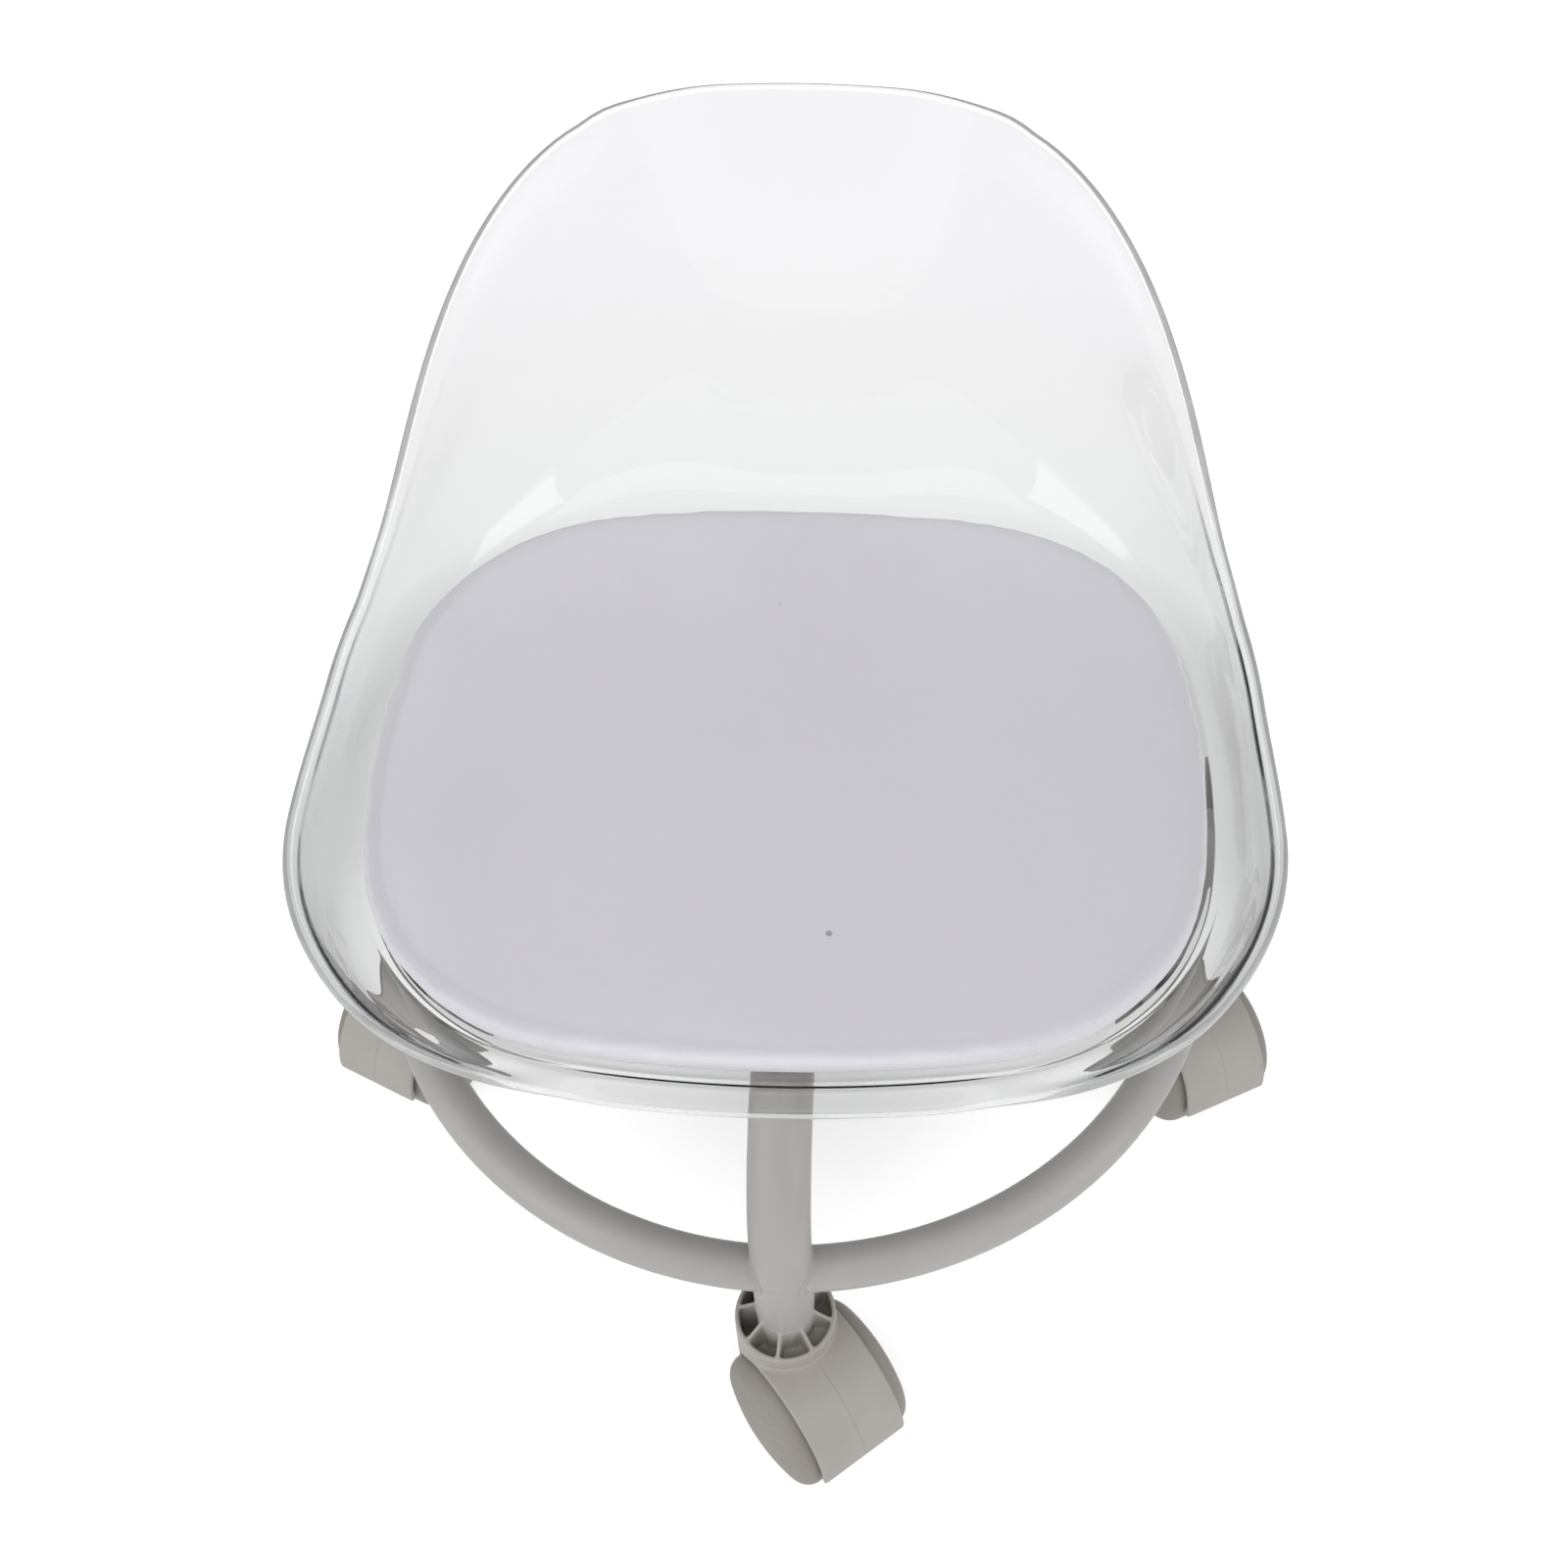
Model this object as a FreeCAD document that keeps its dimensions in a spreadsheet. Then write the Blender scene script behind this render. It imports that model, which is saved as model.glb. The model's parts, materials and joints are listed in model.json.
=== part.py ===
import FreeCAD, Part
import math
import os
import Sketcher

# Low rolling stool: a clear bucket seat with a thin pad, on four bent legs with twin-wheel casters.
# Millimetres, +Z up. The stool faces -Y, and the origin is on the floor under the middle of the base.

Vector = FreeCAD.Vector
Rotation = FreeCAD.Rotation
Placement = FreeCAD.Placement

doc = FreeCAD.newDocument("rolling_stool")

# Driving dimensions

SIZES = {
    # Base: four legs of bent tube and the ring between them
    "ring_radius": 179,
    "ring_tube_dia": 19,
    "ring_tube_wall": 1.5,
    "leg_tube_dia": 25,
    "leg_tube_wall": 1.5,
    "leg_bend_radius": 45,
    "ring_above_leg_end": 36,
    "arm_above_ring": 72,
    "hub_width": 50,
    "hub_wall": 3,
    # Fixing of the seat
    "plate_width": 130,
    "plate_thickness": 3,
    "plate_corner": 12,
    "screw_spacing": 96,
    "screw_dia": 6,
    "screw_head_dia": 12,
    "screw_head_height": 3,
    "screw_end_length": 3,
    "hole_clearance": 0.3,
    "nut_width": 10,
    "nut_height": 5,
    "rubber_washer_dia": 22,
    "rubber_washer_thickness": 1.5,
    # Clear seat shell: a shallow recess for the pad, and a wall that flares out of it
    "shell_wall": 4,
    "recess_depth": 2.5,
    "recess_half_width": 176,
    "recess_half_length": 148,
    "recess_centre": 4,
    "recess_side_bow": 340,
    "recess_end_bow": 560,
    "recess_corner": 104,
    "recess_step": 1.5,
    "lip_clearance": 0.8,
    "lip_flare": 10,
    "corner_flare": 25,
    "side_flare": 11.2,
    "back_flare": 67.8,
    "side_rise": 37.1,
    "back_rise": 175.8,
    "back_crown": 3.2,
    # Seat pad
    "pad_margin": 2,
    "pad_thickness": 10,
    "pad_edge_round": 4,
    "pad_crown": 1.2,
    "pad_flat_inset": 45,
    # Twin-wheel casters
    "caster_trail": 22,
    "front_caster_turn": 37.8,
    "side_caster_turn": 26,
    "wheel_dia": 63,
    "wheel_face": 32,
    "wheel_shoulder": 8,
    "wheel_dome": 90,
    "wheel_rim": 4,
    "wheel_hub_dia": 16,
    "wheel_end_wall": 5,
    "wheel_side_gap": 0.6,
    "axle_dia": 6,
    "axle_end_gap": 1,
    "hood_width": 42,
    "hood_gap": 1.5,
    "hood_wall": 2.5,
    "web_thickness": 8,
    "web_boss_dia": 18,
    "seam_width": 0.4,
    "seam_depth": 0.3,
    "collar_dia": 43,
    "collar_wall": 2,
    "collar_above_crown": 8,
    "barrel_below_axle": 4,
    "boss_dia": 24,
    "boss_above_collar": 9,
    "rib_thickness": 1.6,
    "stem_dia": 10,
    "stem_in_hood": 22,
    "stem_in_leg": 30,
    "socket_length": 34,
    "grip_ring_width": 4,
    "grip_ring_depth": 0.8,
    "grip_ring_stand": 0.6,
    "grip_ring_slot": 2,
    "swivel_washer_dia": 20,
    "swivel_washer_thickness": 1.5,
    "swivel_gap": 0.5,
    "running_clearance": 0.05,
}

# Heights and radii that follow from the driving dimensions, stacked up from the floor

LEVELS = {
    "axle_height": "sizes.wheel_dia / 2",
    "hood_inner": "sizes.wheel_dia / 2 + sizes.hood_gap",
    "hood_outer": "hood_inner + sizes.hood_wall",
    "collar_top": "axle_height + hood_outer + sizes.collar_above_crown",
    "boss_top": "collar_top + sizes.boss_above_collar",
    "stem_bottom": "boss_top - sizes.stem_in_hood",
    "leg_end": "boss_top + sizes.swivel_gap + sizes.swivel_washer_thickness",
    "ring_height": "leg_end + sizes.ring_above_leg_end",
    "arm_height": "ring_height + sizes.arm_above_ring",
    "arm_top": "arm_height + sizes.leg_tube_dia / 2",
    "plate_top": "arm_top + sizes.plate_thickness",
    "pan_bottom": "plate_top + sizes.rubber_washer_thickness",
    "pan_top": "pan_bottom + sizes.shell_wall",
    "flange_top": "pan_top + sizes.recess_depth",
    "lip_top": "arm_top + sizes.lip_clearance + sizes.shell_wall",
    "leg_bore": "sizes.leg_tube_dia / 2 - sizes.leg_tube_wall",
    "socket_bore": "sizes.stem_dia / 2 + sizes.grip_ring_stand",
    "groove_radius": "sizes.stem_dia / 2 - sizes.grip_ring_depth",
    "wheel_inner_face": "sizes.web_thickness / 2 + sizes.wheel_side_gap",
    "dome_centre": "sizes.wheel_face - sizes.wheel_dome",
    "shoulder_height": "sizes.wheel_dia / 2 - sizes.wheel_shoulder",
    "shoulder_swing": "sizes.wheel_dome - sizes.wheel_shoulder",
    "shoulder_start": "dome_centre + sqrt(shoulder_swing ^ 2 - shoulder_height ^ 2)",
    "axle_reach": "sizes.wheel_face - sizes.wheel_end_wall - sizes.axle_end_gap",
}


def make_sheet(name, cells):
    """One row for each size: its name in column A, and its value, with that name as alias, in column B."""
    table = doc.addObject("Spreadsheet::Sheet", name)
    for row, (alias, value) in enumerate(cells.items(), 1):
        table.set(f"A{row}", alias)
        table.setAlias(f"B{row}", alias)
        table.set(f"B{row}", value)
    return table


sizes = make_sheet("sizes", {alias: str(value) for alias, value in SIZES.items()})
doc.recompute()
levels = make_sheet("levels", {alias: "=" + formula for alias, formula in LEVELS.items()})
doc.recompute()

# Directions of the four legs and the turn of each caster at rest, in degrees about +Z from the front

CORNERS = {
    "front": (0, -1, "sizes.front_caster_turn"),
    "right": (1, 0, "sizes.side_caster_turn"),
    "back": (0, 1, "sizes.front_caster_turn + 180"),
    "left": (-1, 0, "-sizes.side_caster_turn"),
}
RIB_PAIRS = 4
ALONG = {"X": Rotation(Vector(0, 1, 0), 90), "Z": Rotation()}

nodes = []


def keep(piece, label):
    """Gives a finished piece its name and puts it on the list of pieces to write."""
    piece.Label = label
    nodes.append(piece)
    return piece


def bind(piece, **expressions):
    """Ties properties to formulas; a double underscore in a name stands for a dot."""
    for name, formula in expressions.items():
        piece.setExpression(name.replace("__", "."), str(formula))


def place(piece, x="0", y="0", z="0"):
    bind(piece, Placement__Base__x=x, Placement__Base__y=y, Placement__Base__z=z)
    return piece


def cylinder(name, radius, height, x="0", y="0", z="0", along="Z"):
    piece = doc.addObject("Part::Cylinder", name)
    piece.Placement = Placement(Vector(), ALONG[along])
    bind(piece, Radius=radius, Height=height)
    return place(piece, x, y, z)


def cone(name, low_radius, high_radius, height, x="0", y="0", z="0"):
    piece = doc.addObject("Part::Cone", name)
    bind(piece, Radius1=low_radius, Radius2=high_radius, Height=height)
    return place(piece, x, y, z)


def block(name, length, width, height, x="0", y="0", z="0"):
    piece = doc.addObject("Part::Box", name)
    bind(piece, Length=length, Width=width, Height=height)
    return place(piece, x, y, z)


def torus(name, radius, tube_radius, z="0", sweep="360"):
    piece = doc.addObject("Part::Torus", name)
    bind(piece, Radius1=radius, Radius2=tube_radius, Angle3=sweep)
    return place(piece, z=z)


def cut(name, base, tool):
    piece = doc.addObject("Part::Cut", name)
    piece.Base = base
    piece.Tool = tool
    return piece


def fuse(name, pieces):
    piece = doc.addObject("Part::MultiFuse", name)
    piece.Shapes = pieces
    return piece


def group(name, pieces):
    piece = doc.addObject("Part::Compound", name)
    piece.Links = pieces
    return piece


def tube(name, outer_radius, inner_radius, height, x="0", y="0", z="0"):
    outside = cylinder(name + "_outside", outer_radius, height, x, y, z)
    inside = cylinder(name + "_inside", inner_radius, height, x, y, z)
    return cut(name, outside, inside)


def origin_plane(body, role):
    return next(plane for plane in body.Origin.OriginFeatures if plane.Role == role)


def add_sketch(body, name, role):
    sketch = body.newObject("Sketcher::SketchObject", name)
    sketch.AttachmentSupport = (origin_plane(body, role), [""])
    sketch.MapMode = "FlatFace"
    return sketch


def dimension(sketch, name, formula, kind, *where):
    """Adds a named sketch dimension at its present value and ties it to a formula."""
    value = sketch.evalExpression(formula)
    index = sketch.addConstraint(Sketcher.Constraint(kind, *where, float(value)))
    sketch.renameConstraint(index, name)
    sketch.setExpression("Constraints." + name, formula)


def number(formula):
    return float(levels.evalExpression(formula))


START, END, CENTRE = 1, 2, 3
ORIGIN = (-1, 1)
X_AXIS = -1


# Legs: a tube that rises from its caster, bends and runs in to the hub under the seat

def make_leg(corner, dx, dy):
    body = doc.addObject("PartDesign::Body", corner + "_leg")
    foot_x = number("sizes.ring_radius")
    foot_z = number("levels.leg_end")
    arm_z = number("levels.arm_height")
    bend = number("sizes.leg_bend_radius")
    inner_x = number("sizes.hub_width / 2")
    path = add_sketch(body, corner + "_leg_path", "XZ_Plane")
    bend_centre = Vector(foot_x - bend, arm_z - bend, 0)
    rising = path.addGeometry(Part.LineSegment(Vector(foot_x, foot_z, 0), Vector(foot_x, arm_z - bend, 0)))
    bend_circle = Part.Circle(bend_centre, Vector(0, 0, 1), bend)
    turn = path.addGeometry(Part.ArcOfCircle(bend_circle, 0, math.pi / 2))
    inward = path.addGeometry(Part.LineSegment(Vector(foot_x - bend, arm_z, 0), Vector(inner_x, arm_z, 0)))
    path.addConstraint(Sketcher.Constraint("Vertical", rising))
    path.addConstraint(Sketcher.Constraint("Horizontal", inward))
    path.addConstraint(Sketcher.Constraint("Tangent", rising, END, turn, START))
    path.addConstraint(Sketcher.Constraint("Tangent", turn, END, inward, START))
    dimension(path, "foot_x", "sizes.ring_radius", "DistanceX", *ORIGIN, rising, START)
    dimension(path, "foot_z", "levels.leg_end", "DistanceY", *ORIGIN, rising, START)
    dimension(path, "bend", "sizes.leg_bend_radius", "Radius", turn)
    dimension(path, "inner_x", "sizes.hub_width / 2", "DistanceX", *ORIGIN, inward, END)
    dimension(path, "arm_z", "levels.arm_height", "DistanceY", *ORIGIN, inward, END)
    section = add_sketch(body, corner + "_leg_section", "XY_Plane")
    section.setExpression("AttachmentOffset.Base.z", "levels.leg_end")
    for name, radius in (("outside", "sizes.leg_tube_dia / 2"), ("inside", "levels.leg_bore")):
        circle = Part.Circle(Vector(foot_x, 0, 0), Vector(0, 0, 1), number(radius))
        ring = section.addGeometry(circle)
        section.addConstraint(Sketcher.Constraint("PointOnObject", ring, CENTRE, X_AXIS))
        dimension(section, name + "_x", "sizes.ring_radius", "DistanceX", *ORIGIN, ring, CENTRE)
        dimension(section, name, radius, "Radius", ring)
    pipe = body.newObject("PartDesign::AdditivePipe", corner + "_leg_tube")
    pipe.Profile = section
    pipe.Spine = (path, ["Edge1", "Edge2", "Edge3"])
    body.Placement = Placement(Vector(), Rotation(Vector(0, 0, 1), math.degrees(math.atan2(dy, dx))))
    keep(body, corner + "_leg")


for corner, (dx, dy, turn) in CORNERS.items():
    make_leg(corner, dx, dy)


# Ring between the legs: four quarter arcs of tube, their ends cut to the round of the legs

def make_ring_arc(name, start):
    bar = torus(name + "_bar", "sizes.ring_radius", "sizes.ring_tube_dia / 2", "levels.ring_height", "90")
    bore_radius = "sizes.ring_tube_dia / 2 - sizes.ring_tube_wall"
    bore = torus(name + "_bore", "sizes.ring_radius", bore_radius, "levels.ring_height", "90")
    reach = "sizes.ring_tube_dia * 2"
    foot = "levels.ring_height - sizes.ring_tube_dia"
    first = cylinder(name + "_first", "sizes.leg_tube_dia / 2", reach, x="sizes.ring_radius", z=foot)
    second = cylinder(name + "_second", "sizes.leg_tube_dia / 2", reach, y="sizes.ring_radius", z=foot)
    arc = cut(name, cut(name + "_tube", bar, bore), group(name + "_ends", [first, second]))
    arc.Placement = Placement(Vector(), Rotation(Vector(0, 0, 1), start))
    keep(arc, name)


for index, name in enumerate(("back_right", "back_left", "front_left", "front_right")):
    make_ring_arc(name + "_ring_arc", 90 * index)

# Hub: a short piece of square tube that the four legs are welded to

hub_low = "levels.arm_height - sizes.leg_tube_dia / 2"
hub_outside = block("hub_outside", "sizes.hub_width", "sizes.hub_width", "sizes.leg_tube_dia",
                    "-sizes.hub_width / 2", "-sizes.hub_width / 2", hub_low)
hub_bore_width = "sizes.hub_width - 2 * sizes.hub_wall"
hub_bore_start = "sizes.hub_wall - sizes.hub_width / 2"
hub_bore = block("hub_bore", hub_bore_width, hub_bore_width, "sizes.leg_tube_dia",
                 hub_bore_start, hub_bore_start, hub_low)
keep(cut("centre_hub", hub_outside, hub_bore), "centre_hub")

# Seat plate, and the screws, nuts and rubber washers at its corners

SIGNS = [(1, 1), (-1, 1), (-1, -1), (1, -1)]


def at_screws(make):
    """Makes one copy at each of the four screw positions."""
    copies = []
    for index, (sx, sy) in enumerate(SIGNS):
        copies.append(make(index, f"{sx} * sizes.screw_spacing / 2", f"{sy} * sizes.screw_spacing / 2"))
    return copies


def make_screw(index, x, y):
    top = "levels.pan_top - sizes.hole_clearance"
    head = cone(f"screw_head_{index}", "sizes.screw_dia / 2", "sizes.screw_head_dia / 2",
                "sizes.screw_head_height", x, y, top + " - sizes.screw_head_height")
    low = "levels.arm_top - sizes.nut_height - sizes.screw_end_length"
    shank = cylinder(f"screw_shank_{index}", "sizes.screw_dia / 2",
                     f"{top} - sizes.screw_head_height - ({low})", x, y, low)
    return fuse(f"screw_{index}", [shank, head])


def make_nut(index, x, y):
    hexagon = doc.addObject("Part::Prism", f"nut_body_{index}")
    hexagon.Polygon = 6
    bind(hexagon, Circumradius="sizes.nut_width / sqrt(3)", Height="sizes.nut_height")
    low = "levels.arm_top - sizes.nut_height"
    place(hexagon, x, y, low)
    thread = cylinder(f"nut_thread_{index}", "sizes.screw_dia / 2", "sizes.nut_height", x, y, low)
    return cut(f"nut_{index}", hexagon, thread)


def make_rubber_washer(index, x, y):
    return tube(f"rubber_washer_{index}", "sizes.rubber_washer_dia / 2",
                "sizes.screw_dia / 2 + sizes.hole_clearance", "sizes.rubber_washer_thickness",
                x, y, "levels.plate_top")


def make_plate_hole(index, x, y):
    return cylinder(f"plate_hole_{index}", "sizes.screw_dia / 2 + sizes.hole_clearance",
                    "sizes.plate_thickness", x, y, "levels.arm_top")


def make_countersink(index, x, y):
    hole = cylinder(f"pan_hole_{index}", "sizes.screw_dia / 2 + sizes.hole_clearance",
                    "sizes.shell_wall", x, y, "levels.pan_bottom")
    sink = cone(f"pan_sink_{index}", "sizes.screw_dia / 2 + sizes.hole_clearance",
                "sizes.screw_head_dia / 2 + sizes.hole_clearance", "sizes.screw_head_height", x, y,
                "levels.pan_top - sizes.screw_head_height")
    return fuse(f"countersink_{index}", [hole, sink])


plate_body = doc.addObject("PartDesign::Body", "plate_blank")
plate_outline = add_sketch(plate_body, "seat_plate_outline", "XY_Plane")
plate_outline.setExpression("AttachmentOffset.Base.z", "levels.arm_top")
half_plate = number("sizes.plate_width / 2")
corners = [Vector(sx * half_plate, sy * half_plate, 0) for sx, sy in SIGNS]
for index in range(len(corners)):
    plate_outline.addGeometry(Part.LineSegment(corners[index], corners[(index + 1) % len(corners)]))
for index in range(len(corners)):
    following = (index + 1) % len(corners)
    plate_outline.addConstraint(Sketcher.Constraint("Coincident", index, END, following, START))
    direction = "Horizontal" if index % 2 == 0 else "Vertical"
    plate_outline.addConstraint(Sketcher.Constraint(direction, index))
plate_outline.addConstraint(Sketcher.Constraint("Symmetric", 0, START, 2, START, *ORIGIN))
dimension(plate_outline, "width", "sizes.plate_width", "DistanceX", 0, END, 0, START)
dimension(plate_outline, "length", "sizes.plate_width", "DistanceY", 1, END, 1, START)
plate_pad = plate_body.newObject("PartDesign::Pad", "seat_plate_pad")
plate_pad.Profile = plate_outline
plate_pad.setExpression("Length", "sizes.plate_thickness")
doc.recompute()
upright_edges = []
for index, edge in enumerate(plate_pad.Shape.Edges, 1):
    first, last = edge.Vertexes[0].Point, edge.Vertexes[-1].Point
    if math.hypot(first.x - last.x, first.y - last.y) < edge.Length / 2:
        upright_edges.append(f"Edge{index}")
plate_rounds = plate_body.newObject("PartDesign::Fillet", "seat_plate_rounds")
plate_rounds.Base = (plate_pad, upright_edges)
plate_rounds.setExpression("Radius", "sizes.plate_corner")
keep(cut("drilled_plate", plate_body, group("plate_holes", at_screws(make_plate_hole))), "seat_plate")
keep(group("screws", at_screws(make_screw)), "seat_screws")
keep(group("nuts", at_screws(make_nut)), "seat_nuts")
keep(group("rubber_washers", at_screws(make_rubber_washer)), "rubber_washers")


# Outline of the seat recess: a bowed rectangle of eight tangent arcs, which also carries the pad

class SeatOutline:
    """A closed outline of arcs; a point on it is found by the direction of its normal."""

    def __init__(self, offset):
        half_width = number("sizes.recess_half_width") + offset
        half_length = number("sizes.recess_half_length") + offset
        self.side_bow = number("sizes.recess_side_bow") + offset
        self.end_bow = number("sizes.recess_end_bow") + offset
        self.corner = number("sizes.recess_corner") + offset
        self.middle = number("sizes.recess_centre")
        self.side_centre = Vector(half_width - self.side_bow, 0, 0)
        self.end_centre = Vector(0, half_length - self.end_bow, 0)
        self.corner_centre = self.find_corner_centre()
        toward_side = self.corner_centre - self.side_centre
        toward_end = self.corner_centre - self.end_centre
        self.side_angle = math.atan2(toward_side.y, toward_side.x)
        self.end_angle = math.atan2(toward_end.y, toward_end.x)

    def find_corner_centre(self):
        """The corner arc touches both bows from inside, so its centre is where two circles meet."""
        from_side = self.side_bow - self.corner
        from_end = self.end_bow - self.corner
        along = self.side_centre - self.end_centre
        apart = along.Length
        reach = (apart ** 2 + from_end ** 2 - from_side ** 2) / (2 * apart)
        aside = math.sqrt(from_end ** 2 - reach ** 2)
        along.normalize()
        across = Vector(-along.y, along.x, 0)
        if across.x < 0:
            across = across * -1
        return self.end_centre + along * reach + across * aside

    def point(self, angle):
        """The point whose outward normal has this angle from +X."""
        folded = math.atan2(abs(math.sin(angle)), abs(math.cos(angle)))
        direction = Vector(math.cos(folded), math.sin(folded), 0)
        if folded < self.side_angle:
            point = self.side_centre + direction * self.side_bow
        elif folded < self.end_angle:
            point = self.corner_centre + direction * self.corner
        else:
            point = self.end_centre + direction * self.end_bow
        x = math.copysign(point.x, math.cos(angle))
        y = math.copysign(point.y, math.sin(angle))
        return Vector(x, y + self.middle, 0)

    def arcs(self):
        """The normal angles at which each of the eight arcs starts and ends, once round."""
        side, end = self.side_angle, self.end_angle
        half_turn = [-side, side, end, math.pi - end]
        stops = half_turn + [angle + math.pi for angle in half_turn] + [2 * math.pi - side]
        return list(zip(stops, stops[1:]))

    def around(self, steps):
        """Points and outward normals right round the outline, with the same number on each arc."""
        angles = []
        for first, last in self.arcs():
            angles += [first + (last - first) * step / steps for step in range(steps)]
        return [(self.point(angle), Vector(math.cos(angle), math.sin(angle), 0)) for angle in angles]

    def wire(self, height):
        """The outline as arcs, at a height."""
        lift = Vector(0, 0, height)
        edges = []
        for first, last in self.arcs():
            three = [self.point(angle) + lift for angle in (first, (first + last) / 2, last)]
            edges.append(Part.Arc(*three).toShape())
        return Part.Wire(edges)


# Seat shell: the wall leaves the recess level, then curls up at the sides and back and down at the front lip

OUTLINE_STEPS = 6
WALL_STEPS = [0, 0.14, 0.3, 0.5, 0.72, 1]
LIP_END, CORNER_PEAK, SIDE_START, SIDE_END, BACK_START = 28, 52, 93, 114, 168
SIDE_RISE_FROM, SIDE_RISE_TO, BACK_RISE_FROM, BACK_RISE_TO = 22, 63, 106, 154
CROWN_FROM, CROWN_TO = 140, 180
FOOT_REACH, KNEE_REACH, KNEE_RISE = 0.5, 0.62, 0.58
SMALL_STEP = 0.001
LOFT_DEGREE = 3


def ease(value, low, high):
    """Goes smoothly from 0 at low to 1 at high."""
    share = min(max((value - low) / (high - low), 0), 1)
    return share * share * (3 - 2 * share)


def wall_flare(angle):
    """How far the rim stands out from the recess, by the plan angle from the front in degrees."""
    lip, corner = number("sizes.lip_flare"), number("sizes.corner_flare")
    side, back = number("sizes.side_flare"), number("sizes.back_flare")
    flare = lip + (corner - lip) * ease(angle, LIP_END, CORNER_PEAK)
    flare += (side - corner) * ease(angle, CORNER_PEAK, SIDE_START)
    return flare + (back - side) * ease(angle, SIDE_END, BACK_START)


def wall_rise(angle):
    """How high the rim stands over the edge of the recess, by the same angle."""
    lip = number("levels.lip_top - levels.flange_top")
    side, back = number("sizes.side_rise"), number("sizes.back_rise")
    rise = lip + (side - lip) * ease(angle, SIDE_RISE_FROM, SIDE_RISE_TO)
    rise += (back - side) * ease(angle, BACK_RISE_FROM, BACK_RISE_TO)
    return rise + number("sizes.back_crown") * ease(angle, CROWN_FROM, CROWN_TO)


def wall_point(start, normal, share):
    """A point of the wall's inner face: a cubic curve from the recess edge out to the rim."""
    angle = math.degrees(math.atan2(abs(start.x), number("sizes.recess_centre") - start.y))
    flare, rise = wall_flare(angle), wall_rise(angle)
    rest = 1 - share
    foot, knee = 3 * rest * rest * share, 3 * rest * share * share
    out = flare * (FOOT_REACH * foot + KNEE_REACH * knee + share ** 3)
    up = rise * (KNEE_RISE * knee + share ** 3)
    return start + normal * out + Vector(0, 0, up)


def closed_curve(points, parameters):
    """A smooth closed wire through the points, split into four edges."""
    curve = Part.BSplineCurve()
    curve.interpolate(Points=points, PeriodicFlag=True, Parameters=parameters)
    quarter = len(points) // 4
    stops = parameters[::quarter]
    return Part.Wire([curve.toShape(first, last) for first, last in zip(stops, stops[1:])])


def make_shell():
    wall = number("sizes.shell_wall")
    pan_top, pan_bottom = number("levels.pan_top"), number("levels.pan_bottom")
    flange_top = number("levels.flange_top")
    step = number("sizes.recess_step")
    recess = SeatOutline(0).around(OUTLINE_STEPS)
    lift = Vector(0, 0, flange_top)
    brim = [(point + lift, normal) for point, normal in SeatOutline(step).around(OUTLINE_STEPS)]
    lengths = [0]
    ring = [point for point, normal in recess]
    for first, second in zip(ring, ring[1:] + ring[:1]):
        lengths.append(lengths[-1] + (second - first).Length)
    parameters = [length / lengths[-1] for length in lengths]

    def curve(points):
        return closed_curve(points, parameters)

    def inner_row(share):
        return [wall_point(start, normal, share) for start, normal in brim]

    def row_directions(share):
        """Across, from point to point round the row, and along, from the recess towards the rim."""
        low, high = max(share - SMALL_STEP, 0), min(share + SMALL_STEP, 1)
        below, here, above = inner_row(low), inner_row(share), inner_row(high)
        directions = []
        for index in range(len(here)):
            across = here[(index + 1) % len(here)] - here[index - 1]
            along = above[index] - below[index]
            directions.append((across.normalize(), along.normalize()))
        return here, directions

    def outer_row(share):
        row = []
        for point, (across, along) in zip(*row_directions(share)):
            row.append(point + across.cross(along).normalize() * wall)
        return row

    inner_rows = [inner_row(share) for share in WALL_STEPS]
    outer_rows = [outer_row(share) for share in WALL_STEPS[1:]]
    rim_directions = row_directions(1)[1]
    bead = []
    for inside, outside, (across, along) in zip(inner_rows[-1], outer_rows[-1], rim_directions):
        bead.append((inside + outside) / 2 + along * (wall / 2))
    pan = curve([point + Vector(0, 0, pan_top) for point, normal in recess])
    underside = curve([Vector(point.x, point.y, pan_bottom) for point, normal in brim])
    inner_wires = [curve(row) for row in inner_rows]
    outer_wires = [curve(row) for row in outer_rows]
    faces = [Part.Face(pan), Part.Face(underside)]
    faces += Part.makeLoft([pan, inner_wires[0]], False, True).Faces
    faces += Part.makeLoft(inner_wires, False, False, False, LOFT_DEGREE).Faces
    rim_wires = [inner_wires[-1], curve(bead), outer_wires[-1]]
    faces += Part.makeLoft(rim_wires, False, False, False, LOFT_DEGREE).Faces
    faces += Part.makeLoft(outer_wires, False, False, False, LOFT_DEGREE).Faces
    faces += Part.makeLoft([underside, outer_wires[0]], False, True).Faces
    skin = Part.Shell(faces)
    skin.sewShape()
    solid = Part.Solid(skin)
    if solid.Volume < 0:
        solid.reverse()
    return solid


moulding = doc.addObject("Part::Feature", "shell_moulding")
moulding.Shape = make_shell()
keep(cut("drilled_shell", moulding, group("countersinks", at_screws(make_countersink))), "seat_shell")


# Seat pad: a thin cushion, drawn in at its foot, rounded over at its edge and crowned to a flat middle

def make_pad():
    margin = number("sizes.pad_margin")
    edge = number("sizes.pad_edge_round")
    low = number("levels.pan_top")
    thick = number("sizes.pad_thickness")
    crown = number("sizes.pad_crown")
    flat_inset = number("sizes.pad_flat_inset")
    shoulder = low + thick - crown
    sections = [(edge * 0.6, low), (0, low + (thick - crown) * 0.4), (edge * 0.3, shoulder - edge * 0.35)]
    for share in (0, 0.25, 0.5, 0.75, 1):
        inset = edge + (flat_inset - edge) * share
        sections.append((inset, low + thick - crown * (1 - share) ** 2))
    wires = [SeatOutline(-margin - inset).wire(height) for inset, height in sections]
    return Part.makeLoft(wires, True, False, False, LOFT_DEGREE)


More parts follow.
